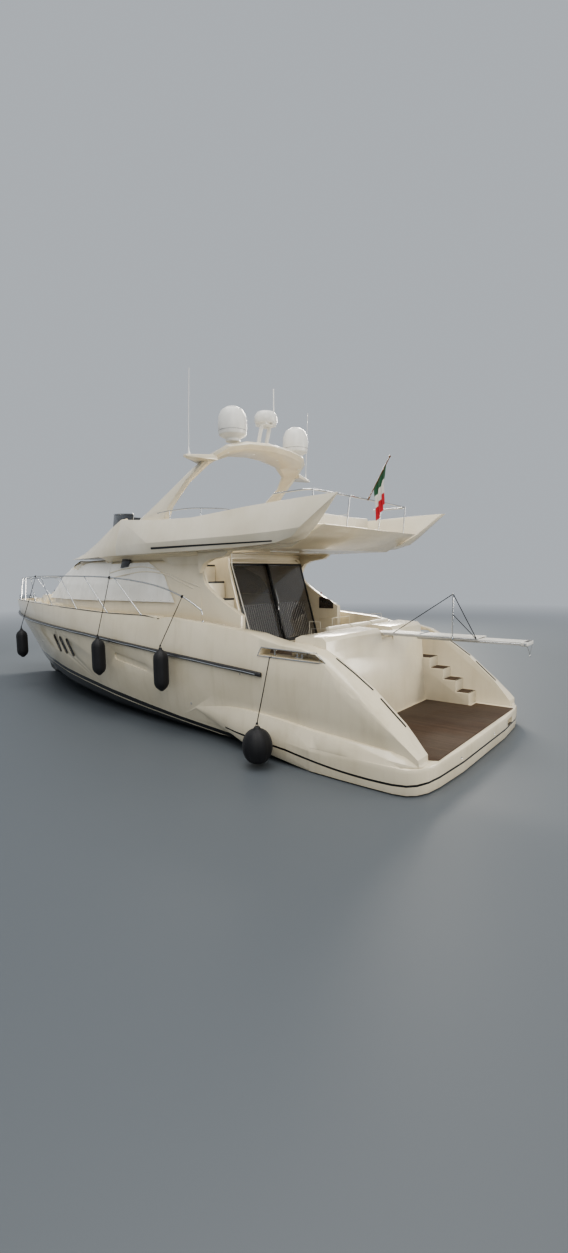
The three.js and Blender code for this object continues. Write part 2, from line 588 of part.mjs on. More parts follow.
add('fly_front', flyFront, '#ece7da', 0.3);
// Windshield: a low screen round the helm, each row x, half width, foot and top.
const screenRows = [
  [9010, 1425, 4300, 4545], [9500, 1390, 4240, 4590], [10130, 1190, 4110, 4640], [10430, 760, 4040, 4655], [10530, 0, 4020, 4660],
];
const screenSide = (inset, high) => screenRows.map(([x, y, foot, top]) => [
  x - inset - (high ? 110 : 0), y > 0 ? y - inset : 0, high ? top : foot,
]);
const screenWall = (half) => [...half, ...half.slice(0, -1).reverse().map(([x, y, z]) => [x, -y, z])];
const glassRing = (high) => [...screenWall(screenSide(0, high)), ...screenWall(screenSide(14, high)).reverse()];
let glass = loft([glassRing(false), glassRing(true)]);
for (const [x, y, z] of [[0, 0, 0], [0, 0, 1], [0, 1, 0], [0, -1, 0], [1, 0, 0], [-1, 0, 0]]) {
  glass = glass.subtract(moved(flyFront, x * gap, y * gap, z * gap));
}
add('fly_windshield', glass, '#4c5358', 0.15);

// Helm, seats and table on the flybridge.
add('helm_console', sideProfile([
  [9000, flyFloor + gap], [9580, flyFloor + gap], [9580, 4420], [9420, 4440], [9080, 4250], [9040, 3900],
], -1150, -150), '#e6e0cf', 0.4);
const wheel = new THREE.TorusGeometry(180, 16, 6, 18);
wheel.rotateY(Math.PI / 2);
let wheelBody = solid(wheel);
for (let i = 0; i < 3; i += 1) {
  const turn = (2 * Math.PI * i) / 3;
  wheelBody = wheelBody.add(bar([[0, 0, 0], [0, 178 * Math.cos(turn), 178 * Math.sin(turn)]], 9, 6));
}
wheelBody = wheelBody.add(bar([[-20, 0, 0], [42, 0, 0]], 34, 10));
const wheelMesh = add('helm_wheel', wheelBody, '#2a2a2c', 0.5, 0, [0, 0, 0]);
wheelMesh.rotation.y = 0.35;
wheelMesh.position.set(9000 - 66 + datum[0], -650, 4130 + datum[2]);
add('helm_seat', union([
  box(8250, 8750, -1150, -150, flyFloor + gap, 4080),
  box(8180, 8290, -1150, -150, flyFloor + gap, 4480),
]), '#efe9da', 0.7);
add('fly_sofa', union([
  box(4300, 7100, -1700, -1150, flyFloor + gap, 4080),
  box(4300, 4850, -1700, 800, flyFloor + gap, 4080),
  box(4300, 7100, -1700, -1580, flyFloor + gap, 4330),
  box(4300, 4420, -1700, 800, flyFloor + gap, 4330),
]), '#efe9da', 0.7);
add('fly_table', union([
  box(5300, 6500, -850, -150, 4330, 4370),
  box(5820, 5980, -570, -430, flyFloor + gap, 4340),
]), '#8a6f58', 0.5);

// Radar arch: plank legs raked aft and an arched top, with side pods.
function plank(centre, chordDir, thickDir, chord, thick) {
  const c = new THREE.Vector3(...centre);
  const u = new THREE.Vector3(...chordDir).normalize().multiplyScalar(chord / 2);
  const v = new THREE.Vector3(...thickDir).normalize().multiplyScalar(thick / 2);
  return [[-1, 0], [-0.8, 0.9], [0.6, 1], [1, 0.2], [1, -0.2], [0.6, -1], [-0.8, -0.9]].map(([a, b]) => {
    const p = c.clone().addScaledVector(u, a).addScaledVector(v, b);
    return [p.x, p.y, p.z];
  });
}
const archHalf = [
  [[7990, 1640, 4200], [1, 0, -0.05], [0, 1, 0.1], 1300, 150],
  [[7740, 1625, 4480], [1, 0, -0.15], [0, 1, 0.1], 1130, 150],
  [[7120, 1560, 4920], [1, 0, -0.35], [0, 1, 0.2], 880, 150],
  [[6480, 1440, 5340], [1, 0, -0.35], [0, 1, 0.35], 700, 160],
  [[6160, 1260, 5560], [1, 0, -0.25], [0, 1, 1], 740, 170],
  [[6000, 900, 5680], [1, 0, -0.1], [0, 0.35, 1], 860, 170],
  [[5960, 300, 5740], [1, 0, -0.05], [0, 0.1, 1], 940, 170],
];
const archRings = archHalf.map((row) => plank(...row));
const archBack = archRings.slice().reverse().map((ring) => ring.map(([x, y, z]) => [x, -y, z]));
let arch = loft([...archRings, ...archBack]);
const pod = loft([
  [[6050, 1380, 5400], [6650, 1400, 5400], [6560, 1390, 5500], [6100, 1370, 5520]],
  [[6230, 2060, 5400], [6330, 2060, 5400], [6320, 2060, 5440], [6240, 2060, 5440]],
]);
arch = arch.add(pod).add(mirrored(pod));
const lifted = moved(wingPort, 0, -1, 1);
arch = arch.subtract(lifted).subtract(mirrored(lifted));
arch = arch.subtract(box(7000, 9000, -1900, 1900, 4000, 4282));
add('radar_arch', arch, '#efebe0', 0.3);
const domeShape = [[0, 0], [150, 0], [150, 60], [285, 130], [300, 300], [290, 480], [230, 620], [120, 690], [0, 710]];
add('dome_port', lathe(domeShape, 18, 5930, 1060, 5790), '#f2f1ec', 0.3);
add('dome_stbd', lathe(domeShape, 18, 5930, -1060, 5790), '#f2f1ec', 0.3);
add('radar_mast', union([
  bar([[6080, 130, 5835], [5930, 130, 6330]], 42, 8),
  bar([[6080, -130, 5835], [5930, -130, 6330]], 42, 8),
  box(5780, 6080, -170, 170, 6310, 6350),
  lathe([[0, 0], [220, 0], [250, 50], [250, 170], [200, 250], [0, 260]], 16, 5930, 0, 6349),
  bar([[5700, 0, 6330], [5700, 0, 7050]], 14, 6),
  box(5690, 5800, -20, 20, 6315, 6345),
]), '#f2f1ec', 0.35);
// Aft rail of the flybridge, with four posts on the fascia and the flagstaff.
const railPath = [[4250, 1790, 4500], [3560, 1830, 4500], [3440, 1740, 4500], [3410, 610, 4500], [3410, -610, 4500],
  [3440, -1740, 4500], [3560, -1830, 4500], [4250, -1790, 4500]];
add('fly_rail', union([
  bar(railPath, 16, 8, 24),
  ...[[3440, 1740], [3410, 610], [3410, -610], [3440, -1740]].map(([x, y]) => bar([[3480, y, 3932], [x, y, 4502]], 13, 8)),
  bar([[3406, -50, 4498], [2930, -50, 5260]], 12, 8),
]), '#c9ccce', 0.2, 0.9);
const staffX = (z) => 3392 - ((z - 4520) * 462) / 740;
add('flag', sideProfile([
  [staffX(5060) - 16, 5060], [staffX(4640) - 16, 4640], [staffX(4640) - 24, 4160], [staffX(4640) - 120, 4120],
  [staffX(5060) - 44, 4560],
], -54, -46), '#2f7a45', 0.8);

// The point of a smooth line at a given x.
function curveAt(points, x) {
  const curve = new THREE.CatmullRomCurve3(points.map((point) => new THREE.Vector3(...point)), false, 'centripetal');
  let best = curve.getPoint(0);
  for (let i = 0; i <= 600; i += 1) {
    const point = curve.getPoint(i / 600);
    if (Math.abs(point.x - x) < Math.abs(best.x - x)) best = point;
  }
  return [best.x, best.y, best.z];
}

// Bow rails with raked posts.
const railTop = [[5820, 2170, 2400], [6350, 2190, 2660], [7300, 2190, 2900], [8900, 2150, 3060], [11000, 2010, 3110],
  [12800, 1720, 3120], [14400, 1300, 3110], [16000, 720, 3090], [17000, 290, 3070], [17350, 8, 3060]];
function bowRail(side) {
  const posts = [[7660, 8680], [8990, 10090], [10440, 11340], [11900, 12950], [13250, 14200], [14500, 15350],
    [15650, 16400], [16600, 17050]];
  const pieces = [bar(railTop, 16, 8, 34)];
  posts.forEach(([foot, head]) => {
    const yf = along(sheerLine, foot, 1) - 70;
    pieces.push(bar([[foot, yf, along(sheerLine, foot, 2) + 14], curveAt(railTop, head)], 13, 6));
  });
  pieces.push(bar([[5820, 2170, 2400], [5790, 2165, 2310]], 16, 8));
  const body = union(pieces).subtract(moved(deck, 0, 0, gap)).subtract(box(-100, 18000, -3000, 0.4, -100, 4000));
  return side > 0 ? body : mirrored(body);
}
const railPort = bowRail(1);
add('bow_rail_port', railPort, '#c9ccce', 0.2, 0.9);
add('bow_rail_stbd', mirrored(railPort), '#c9ccce', 0.2, 0.9);

// Anchor on its roller, and the windlass.
add('bow_roller', union([
  box(16700, 17650, -110, 110, 2370, 2400),
  box(16900, 17700, -110, -95, 2370, 2480),
  box(16900, 17700, 95, 110, 2370, 2480),
]), '#c9ccce', 0.25, 0.9);
add('anchor', union([
  box(16950, 17760, -20, 20, 2410, 2450),
  loft([
    [[17700, -20, 2410], [17760, -20, 2450], [17760, 20, 2450], [17700, 20, 2410]],
    [[17640, -90, 2130], [17700, -150, 2150], [17700, 150, 2150], [17640, 90, 2130]],
    [[17600, -10, 1980], [17620, -10, 1980], [17620, 10, 1980], [17600, 10, 1980]],
  ]),
]), '#b9bcbe', 0.3, 0.9);

// Cockpit seat and table.
add('cockpit_sofa', union([
  box(3702, 4250, -1600, 900, cockpitSole + gap, 1850),
  box(3702, 3830, -1600, 900, 1800, 2080),
]), '#efe9da', 0.7);

// Shafts, brackets, propellers and rudders below the stern.
const shaftTilt = Math.atan2(380, 2500);
function shaft(side) {
  const y = side * shaftY;
  return moved(union([
    bar([[4500 + gearX, y, -520], [2125 + gearX, y, -881]], 30, 10),
    box(2280 + gearX, 2400 + gearX, y - 12, y + 12, -850, -470),
    bar([[2450 + gearX, y, -832], [2200 + gearX, y, -870]], 52, 10),
  ]).subtract(hull), 0, 0, -gap);
}
add('shaft_port', shaft(1), '#a88f5a', 0.35, 0.9);
add('shaft_stbd', shaft(-1), '#a88f5a', 0.35, 0.9);
// Blades are flat plates, pitched about the radius.
function propeller(side) {
  const pieces = [bar([[-75, 0, 0], [60, 0, 0]], 58, 12)];
  const outline = [[-34, 40], [34, 40], [104, 150], [112, 235], [60, propRadius], [-40, propRadius - 4], [-96, 240], [-88, 150]];
  for (let i = 0; i < 4; i += 1) {
    const blade = planProfile(outline.map(([a, r]) => [a, r]), -6, 6);
    const mesh = geometryOf(blade);
    mesh.rotateY(side * 1.0);
    mesh.rotateX((Math.PI / 2) * i);
    pieces.push(solid(mesh));
  }
  return union(pieces);
}
for (const [name, side] of [['propeller_port', 1], ['propeller_stbd', -1]]) {
  const mesh = add(name, propeller(side), '#b0924f', 0.3, 0.9, [0, 0, 0]);
  mesh.rotation.y = -shaftTilt;
  mesh.position.set(2050 + gearX + datum[0], side * shaftY, -892 + datum[2]);
}
for (const [name, side] of [['rudder_port', 1], ['rudder_stbd', -1]]) {
  const y = side * shaftY;
  const x = gearX;
  add(name, union([
    loft([
      [[1150 + x, y - 10, -1180], [1420 + x, y - 28, -1180], [1600 + x, y - 8, -1180], [1600 + x, y + 8, -1180], [1420 + x, y + 28, -1180], [1150 + x, y + 10, -1180]],
      [[1110 + x, y - 10, -610], [1420 + x, y - 30, -610], [1640 + x, y - 8, -610], [1640 + x, y + 8, -610], [1420 + x, y + 30, -610], [1110 + x, y + 10, -610]],
    ]),
    bar([[1420 + x, y, -620], [1420 + x, y, -340]], 28, 10),
  ]), '#b0924f', 0.35, 0.9);
}

// Fenders with their lanyards, hung just below the bow rails or out of the hawse slots.
function fender(name, x, y, z, radius, half, top, round) {
  const profile = round
    ? [[0, -half], [radius * 0.5, -half * 0.9], [radius * 0.9, -half * 0.45], [radius, 0], [radius * 0.9, half * 0.45],
      [radius * 0.5, half * 0.9], [60, half + 50], [0, half + 50]]
    : [[0, -half], [radius * 0.45, -half + 15], [radius, -half + 120], [radius, half - 120], [radius * 0.45, half - 15],
      [40, half + 50], [0, half + 50]];
  add(name, union([
    lathe(profile, 12, x, y, z),
    bar([[x, y, z + half + 30], top], 8, 6),
  ]), '#1b1b1d', 0.6);
}
const hang = (x, side) => {
  const [px, py, pz] = curveAt(railTop, x);
  return [px, side * (py + 6), pz - 28];
};
fender('fender_port_1', 6560, 2615, 1210, 150, 420, hang(6330, 1), false);
fender('fender_port_2', 8890, 2530, 1270, 150, 420, hang(8890, 1), false);
fender('fender_port_3', 13600, 2030, 1200, 150, 400, hang(13600, 1), false);
fender('ball_port', 3840, 2830, 240, 255, 300, [3840, 2480, 1690], true);
fender('fender_stbd_1', 12000, -2240, 1200, 150, 400, hang(12000, -1), false);
fender('ball_stbd', 3840, -2830, 240, 255, 300, [3840, -2480, 1690], true);

export default group;
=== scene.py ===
# Flybridge motor yacht: materials, fittings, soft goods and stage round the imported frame.
import json
import math

import bmesh
import bpy
from mathutils import Matrix, Vector

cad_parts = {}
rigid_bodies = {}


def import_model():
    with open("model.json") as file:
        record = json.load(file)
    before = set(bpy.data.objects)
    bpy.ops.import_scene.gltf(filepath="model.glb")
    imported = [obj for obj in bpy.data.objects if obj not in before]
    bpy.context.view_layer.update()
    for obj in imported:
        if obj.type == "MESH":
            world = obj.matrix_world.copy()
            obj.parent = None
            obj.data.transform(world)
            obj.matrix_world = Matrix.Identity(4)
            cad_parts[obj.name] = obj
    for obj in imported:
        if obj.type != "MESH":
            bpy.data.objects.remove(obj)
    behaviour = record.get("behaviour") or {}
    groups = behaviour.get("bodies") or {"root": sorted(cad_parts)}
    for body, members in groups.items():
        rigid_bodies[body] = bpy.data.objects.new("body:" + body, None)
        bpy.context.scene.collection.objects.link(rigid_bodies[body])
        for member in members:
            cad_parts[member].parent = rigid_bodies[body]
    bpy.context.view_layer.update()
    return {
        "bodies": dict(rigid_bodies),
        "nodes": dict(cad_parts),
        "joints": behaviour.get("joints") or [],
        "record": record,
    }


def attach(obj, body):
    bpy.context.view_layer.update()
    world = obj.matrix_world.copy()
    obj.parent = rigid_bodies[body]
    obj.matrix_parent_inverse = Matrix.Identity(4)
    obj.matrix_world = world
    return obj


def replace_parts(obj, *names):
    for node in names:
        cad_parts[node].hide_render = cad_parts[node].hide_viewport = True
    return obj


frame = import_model()
nodes = frame["nodes"]

# The camera stands off the port quarter, a little above the floor.
camera = {"place": (-2.909, 9.262, 3.185), "yaw": -51.33, "pitch": -6.08, "roll": 0.82, "lens": 15.31,
          "lift": 0.004}


def addCamera():
    yaw, pitch, roll = (math.radians(camera[key]) for key in ("yaw", "pitch", "roll"))
    forward = Vector((math.cos(yaw) * math.cos(pitch), math.sin(yaw) * math.cos(pitch), math.sin(pitch)))
    right = Vector((math.sin(yaw), -math.cos(yaw), 0))
    down = forward.cross(right)
    side = right * math.cos(roll) + down * math.sin(roll)
    up = right * math.sin(roll) - down * math.cos(roll)
    bpy.ops.object.camera_add()
    cam = bpy.context.object
    cam.name = "quarterCamera"
    turn = Matrix((side, up, -forward)).transposed().to_4x4()
    cam.matrix_world = Matrix.Translation(camera["place"]) @ turn
    cam.data.sensor_width = 36
    cam.data.lens = camera["lens"]
    cam.data.shift_y = camera["lift"]
    cam.data.clip_end = 400
    bpy.context.scene.camera = cam


addCamera()
print("camera placed")


# Small modelling tools.
def pick(*objs):
    bpy.ops.object.select_all(action="DESELECT")
    for obj in objs:
        obj.select_set(True)
    bpy.context.view_layer.objects.active = objs[0]


def added(operator, **settings):
    # A new primitive, with nothing else selected.
    bpy.ops.object.select_all(action="DESELECT")
    operator(**settings)
    return bpy.context.object


def editAll(obj):
    pick(obj)
    bpy.ops.object.mode_set(mode="EDIT")
    bpy.ops.mesh.select_all(action="SELECT")


def bake(obj):
    pick(obj)
    bpy.ops.object.transform_apply(location=True, rotation=True, scale=True)


def settle(obj, name, finish, slot, body="boat", smooth=35):
    # Names a finished piece, gives it its finish and lets it ride.
    bake(obj)
    obj.name = name
    obj.data.materials.clear()
    obj.data.materials.append(finish)
    bpy.ops.object.shade_smooth_by_angle(angle=math.radians(smooth))
    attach(obj, body)
    return obj


def useModifier(obj, kind, **settings):
    pick(obj)
    mod = obj.modifiers.new(kind.lower(), kind)
    for key, value in settings.items():
        setattr(mod, key, value)
    bpy.ops.object.modifier_apply(modifier=mod.name)


def roundEdges(obj, width, segments=2, angle=32):
    useModifier(obj, "BEVEL", width=width, segments=segments, limit_method="ANGLE",
                angle_limit=math.radians(angle), use_clamp_overlap=True, harden_normals=False)


def joined(parts):
    # One object out of several, the first one's name kept.
    pick(*parts)
    bpy.ops.object.join()
    return bpy.context.object


def block(centre, size, width=0.006, segments=2):
    # A box with rounded edges.
    obj = added(bpy.ops.mesh.primitive_cube_add, size=1, location=centre, scale=size)
    bpy.ops.object.transform_apply(location=False, rotation=False, scale=True)
    roundEdges(obj, min(width, min(size) * 0.45), segments)
    return obj


def corner(lowCorner, highCorner, width=0.006, segments=2):
    # A rounded box between two corners.
    low, high = Vector(lowCorner), Vector(highCorner)
    return block((low + high) / 2, [abs(value) for value in high - low], width, segments)


def smoothPath(points, steps=8):
    # Extra points on a smooth line through the given ones.
    knots = [Vector(point) for point in points]
    line = []
    for before, a, b, after in zip([knots[0], *knots], knots, knots[1:], [*knots[2:], knots[-1]]):
        for j in range(steps):
            t = j / steps
            line.append(0.5 * (2 * a + (b - before) * t + (2 * before - 5 * a + 4 * b - after) * t * t
                               + (3 * a - before - 3 * b + after) * t * t * t))
    return [*line, knots[-1]]


def tube(points, radius, sides=4, closed=False):
    # A round bar along points.
    obj = added(bpy.ops.curve.primitive_bezier_curve_add)
    curve = obj.data
    curve.splines.clear()
    spline = curve.splines.new("POLY")
    spline.points.add(len(points) - 1)
    for knot, point in zip(spline.points, points):
        knot.co = (*point, 1)
    spline.use_cyclic_u = closed
    curve.dimensions = "3D"
    curve.bevel_depth = radius
    curve.bevel_resolution = sides
    curve.use_fill_caps = not closed
    pick(obj)
    bpy.ops.object.convert(target="MESH")
    return bpy.context.object


def lofted(rings):
    # A closed skin over cross-sections that follow one another.
    obj = added(bpy.ops.mesh.primitive_plane_add, size=1)
    mesh = bmesh.new()
    rows = [[mesh.verts.new(point) for point in ring] for ring in rings]
    for near, far in zip(rows, rows[1:]):
        for i in range(len(near)):
            j = (i + 1) % len(near)
            mesh.faces.new((near[i], near[j], far[j], far[i]))
    mesh.faces.new(rows[0])
    mesh.faces.new(rows[-1][::-1])
    bmesh.ops.recalc_face_normals(mesh, faces=mesh.faces)
    mesh.to_mesh(obj.data)
    mesh.free()
    return obj


def band(points, across, outward, thick):
    # A flat strip with rounded edges: across is its half width along each point's side vector.
    rings = []
    for point, side, normal in zip(points, across, outward):
        normal = normal.normalized() * thick
        rings.append([point - side, point - side * 0.86 + normal, point + side * 0.86 + normal, point + side,
                      point + side - normal, point - side - normal])
    return lofted(rings)


def spun(profile, place, steps=32, axis=(0, 0, 1)):
    # A turned piece: (radius, height) pairs spun round an axis through place.
    obj = added(bpy.ops.mesh.primitive_plane_add, size=1)
    mesh = bmesh.new()
    verts = [mesh.verts.new((radius, 0, height)) for radius, height in profile]
    for a, b in zip(verts, verts[1:]):
        mesh.edges.new((a, b))
    mesh.to_mesh(obj.data)
    mesh.free()
    editAll(obj)
    bpy.ops.mesh.spin(steps=steps, angle=2 * math.pi, center=(0, 0, 0), axis=(0, 0, 1))
    bpy.ops.mesh.select_all(action="SELECT")
    bpy.ops.mesh.remove_doubles(threshold=0.00005)
    bpy.ops.mesh.normals_make_consistent(inside=False)
    bpy.ops.object.mode_set(mode="OBJECT")
    turn = Vector((0, 0, 1)).rotation_difference(Vector(axis)).to_matrix().to_4x4()
    obj.matrix_world = Matrix.Translation(place) @ turn
    bake(obj)
    return obj


def copyOf(nodeName):
    # A loose copy of a CAD node's mesh with its doubles merged.
    source = nodes[nodeName]
    obj = bpy.data.objects.new(nodeName + "Copy", source.data.copy())
    bpy.context.scene.collection.objects.link(obj)
    editAll(obj)
    bpy.ops.mesh.remove_doubles(threshold=0.0002)
    bpy.ops.object.mode_set(mode="OBJECT")
    return obj


def combine(obj, other, operation):
    # Adds or cuts a second shape, which is then gone.
    useModifier(obj, "BOOLEAN", operation=operation, object=other, solver="EXACT")
    bpy.data.objects.remove(other)
    return obj


def tidyFaces(obj):
    # Merges doubles, and loose triangles into flat faces.
    editAll(obj)
    bpy.ops.mesh.remove_doubles(threshold=0.0015)
    bpy.ops.mesh.dissolve_limited(angle_limit=math.radians(0.6), delimit={"NORMAL"})
    bpy.ops.mesh.dissolve_degenerate(threshold=0.0005)
    bpy.ops.object.mode_set(mode="OBJECT")


def refined(name, cadNode, finish, slot, width, segments=2, body="boat", angle=32):
    # A CAD shape with its edges rounded and its shading smooth, in the node's own place.
    obj = copyOf(cadNode)
    tidyFaces(obj)
    roundEdges(obj, width, segments, angle)
    settle(obj, name, finish, slot, body, 40)
    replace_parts(obj, cadNode)
    return obj


def onSurface(obj, start, direction):
    # Where a ray from start meets obj, with the surface's normal there.
    hit, place, normal, _ = obj.ray_cast(Vector(start), Vector(direction).normalized())
    return (place, normal) if hit else (Vector(start), -Vector(direction))


def onFlank(obj, x, z, side):
    # The outside of obj at a station and a height, seen from one side of the boat.
    return onSurface(obj, (x, side * 4, z), (0, -side, 0))


def onTop(obj, x, y, height):
    return onSurface(obj, (x, y, height), (0, 0, -1))


def flankRay(obj, x, z, side):
    # The same ray as a hit, a place and a normal, for a skin with gaps in it.
    return obj.ray_cast((x, side * 4, z), (0, -side, 0))[:3]


# Shader groups shared by the finishes.
def newGroup(name, inputs, outputs):
    tree = bpy.data.node_groups.new(name, "ShaderNodeTree")
    for label, kind, value in inputs:
        socket = tree.interface.new_socket(name=label, in_out="INPUT", socket_type=kind)
        socket.default_value = value
    for label, kind in outputs:
        tree.interface.new_socket(name=label, in_out="OUTPUT", socket_type=kind)
    return tree, tree.nodes.new("NodeGroupInput"), tree.nodes.new("NodeGroupOutput")


def feed(tree, socket, value):
    # Sets a socket, or links another one to it.
    if isinstance(value, bpy.types.NodeSocket):
        tree.links.new(value, socket)
    else:
        socket.default_value = value


def put(tree, kind, values=None, **settings):
    # A node with its settings, and its sockets either set or linked.
    node = tree.nodes.new(kind)
    for key, value in settings.items():
        setattr(node, key, value)
    for key, value in (values or {}).items():
        feed(tree, node.inputs[key], value)
    return node


def sums(tree, operation, *values):
    return put(tree, "ShaderNodeMath", dict(enumerate(values)), operation=operation).outputs[0]


def ramp(tree, value, low, high, outLow=0.0, outHigh=1.0):
    values = {0: value, 1: low, 2: high, 3: outLow, 4: outHigh}
    return put(tree, "ShaderNodeMapRange", values, clamp=True).outputs[0]


def mixColours(tree, share, first, second):
    node = put(tree, "ShaderNodeMix", {0: share}, data_type="RGBA", clamp_factor=True)
    for index, value in ((6, first), (7, second)):
        feed(tree, node.inputs[index], value if isinstance(value, bpy.types.NodeSocket) else (*value, 1))
    return node.outputs[2]


# Streaks that run down a side, and soft dirt in patches.
onPlace = ("Vector", "NodeSocketVector", (0, 0, 0))
streaks, inside, outside = newGroup("waterStreaks", [onPlace, ("Fineness", "NodeSocketFloat", 1.0)],
                                    [("Mask", "NodeSocketFloat"), ("Patches", "NodeSocketFloat")])


def cloudy(tree, vector, scale, detail, roughness):
    values = {"Vector": vector, "Scale": scale, "Detail": detail, "Roughness": roughness}
    return put(tree, "ShaderNodeTexNoise", values).outputs[0]


stretched = put(streaks, "ShaderNodeMapping", {"Vector": inside.outputs[0], "Scale": (5.0, 5.0, 0.55)})
noise = cloudy(streaks, stretched.outputs[0], inside.outputs[1], 5.0, 0.6)
streaks.links.new(ramp(streaks, noise, 0.5, 0.78), outside.inputs[0])
broad = cloudy(streaks, inside.outputs[0], 0.9, 4.0, 0.55)
streaks.links.new(ramp(streaks, broad, 0.42, 0.66), outside.inputs[1])

# Fine grain for mouldings, metal and rubber.
grain, inside, outside = newGroup("fineGrain", [onPlace, ("Scale", "NodeSocketFloat", 120.0)],
                                  [("Value", "NodeSocketFloat")])
noise = cloudy(grain, inside.outputs[0], inside.outputs[1], 3.0, 0.65)
grain.links.new(noise, outside.inputs[0])

# Over and under threads of a cloth, on any coordinates.
weave, inside, outside = newGroup("clothThreads", [onPlace, ("Threads", "NodeSocketFloat", 300.0)],
                                  [("Height", "NodeSocketFloat")])
threads = {"Vector": inside.outputs[0], "Scale": inside.outputs[1], "Distortion": 0.4, "Detail": 1.0}
warp, weft = (put(weave, "ShaderNodeTexWave", threads, wave_type="BANDS", bands_direction=way)
              for way in "XZ")
weave.links.new(sums(weave, "MAXIMUM", warp.outputs[0], weft.outputs[0]), outside.inputs[0])

# Planks along X with dark caulked seams: seam mask and a tone for each plank.
planks, inside, outside = newGroup("deckPlanks", [onPlace, ("Width", "NodeSocketFloat", 0.05)],
                                   [(name, "NodeSocketFloat") for name in ("Seam", "Tone", "Grain")])
parts = put(planks, "ShaderNodeSeparateXYZ", {0: inside.outputs[0]})
rows = sums(planks, "DIVIDE", parts.outputs[1], inside.outputs[1])
fromSeam = sums(planks, "ABSOLUTE", sums(planks, "SUBTRACT", sums(planks, "FRACT", rows), 0.5))
planks.links.new(ramp(planks, fromSeam, 0.435, 0.465), outside.inputs[0])
white = put(planks, "ShaderNodeTexWhiteNoise", {"W": sums(planks, "FLOOR", rows)}, noise_dimensions="1D")
planks.links.new(white.outputs[0], outside.inputs[1])
fibre = put(planks, "ShaderNodeMapping", {"Vector": inside.outputs[0], "Scale": (4.0, 90.0, 90.0)})
noise = cloudy(planks, fibre.outputs[0], 1.2, 6.0, 0.65)
planks.links.new(noise, outside.inputs[2])


def newFinish(name, colour, roughness, metallic=0.0, **sockets):
    material = bpy.data.materials.new(name)
    material.use_nodes = True
    tree = material.node_tree
    shader = tree.nodes["Principled BSDF"]
    shader.inputs["Base Color"].default_value = (*colour, 1)
    shader.inputs["Roughness"].default_value = roughness
    shader.inputs["Metallic"].default_value = metallic
    for key, value in sockets.items():
        shader.inputs[key.replace("_", " ")].default_value = value
    place = tree.nodes.new("ShaderNodeTexCoord").outputs["Object"]
    return material, tree, shader, place


def placed(tree, group, place, **values):
    # A shared group laid on the given coordinates.
    return put(tree, "ShaderNodeGroup", {"Vector": place, **values}, node_tree=group)


def addBump(tree, shader, height, strength, distance):
    bump = put(tree, "ShaderNodeBump", {"Height": height, "Strength": strength, "Distance": distance})
    tree.links.new(bump.outputs[0], shader.inputs["Normal"])


def gelcoat(name, colour, dirt, streakShare=0.35, roughness=0.2):
    # Polished moulding with faint yellowed patches and runs.
    material, tree, shader, place = newFinish(name, colour, roughness, Coat_Weight=0.35, Coat_Roughness=0.08)
    marks = placed(tree, streaks, place, Fineness=1.3)
    soft = mixColours(tree, sums(tree, "MULTIPLY", marks.outputs[1], 0.3), colour, dirt)
    full = mixColours(tree, sums(tree, "MULTIPLY", marks.outputs[0], streakShare), soft, dirt)
    tree.links.new(full, shader.inputs["Base Color"])
    fine = placed(tree, grain, place, Scale=14.0)
    tree.links.new(ramp(tree, fine.outputs[0], 0.3, 0.75, roughness * 0.85, roughness * 1.35),
                   shader.inputs["Roughness"])
    addBump(tree, shader, placed(tree, grain, place, Scale=2.2).outputs[0], 0.12, 0.02)
    return material, tree, shader, place, full


cream, creamDirt = (0.82, 0.735, 0.565), (0.56, 0.48, 0.32)
mouldingFinish = gelcoat("creamMoulding", (0.84, 0.755, 0.585), creamDirt, 0.16)[0]
wingFinish = gelcoat("wingMoulding", (0.84, 0.775, 0.635), creamDirt, 0.10)[0]

# Topsides: cream above, a black line round the stern, then the boot stripe with a thin light line in it
# and dark antifouling.
stripe = {"lowest": 0.15, "lowestAt": 0.9, "curl": 0.05, "curlTo": 2.5, "rise": 0.055, "half": 0.017,
          "end": 4.05, "bootAt": 3.6, "bootTop": 0.153, "bootRise": 0.09, "bootMost": 0.95,
          "bootLeast": 0.012, "lightHigh": 0.10, "lightLow": 0.127, "black": (0.012, 0.011, 0.012)}
hullFinish, tree, shader, place, painted = gelcoat("topsidePaint", cream, creamDirt, 0.3, 0.17)
parts = put(tree, "ShaderNodeSeparateXYZ", {0: place})
along, height = parts.outputs[0], parts.outputs[2]
fromLowest = sums(tree, "SUBTRACT", sums(tree, "MINIMUM", along, stripe["curlTo"]), stripe["lowestAt"])
curl = sums(tree, "MULTIPLY", sums(tree, "MULTIPLY", fromLowest, fromLowest), stripe["curl"])
climb = sums(tree, "MULTIPLY", sums(tree, "MAXIMUM", sums(tree, "SUBTRACT", along, stripe["curlTo"]), 0.0),
             stripe["rise"])
above = sums(tree, "SUBTRACT", height, sums(tree, "ADD", sums(tree, "ADD", curl, climb), stripe["lowest"]))
onLine = sums(tree, "MULTIPLY", sums(tree, "LESS_THAN", sums(tree, "ABSOLUTE", above), stripe["half"]),
              sums(tree, "LESS_THAN", along, stripe["end"]))
bootTop = sums(tree, "MULTIPLY_ADD", sums(tree, "SUBTRACT", along, stripe["bootAt"]), stripe["bootRise"],
               stripe["bootTop"])
bootTop = sums(tree, "MAXIMUM", sums(tree, "MINIMUM", bootTop, stripe["bootMost"]), stripe["bootLeast"])
under = sums(tree, "SUBTRACT", bootTop, height)
lightLine = sums(tree, "MULTIPLY", sums(tree, "GREATER_THAN", under, stripe["lightHigh"]),
                 sums(tree, "LESS_THAN", under, stripe["lightLow"]))
boot = sums(tree, "MULTIPLY", sums(tree, "GREATER_THAN", under, 0.0), sums(tree, "SUBTRACT", 1.0, lightLine))
dark = sums(tree, "MAXIMUM", onLine, boot)
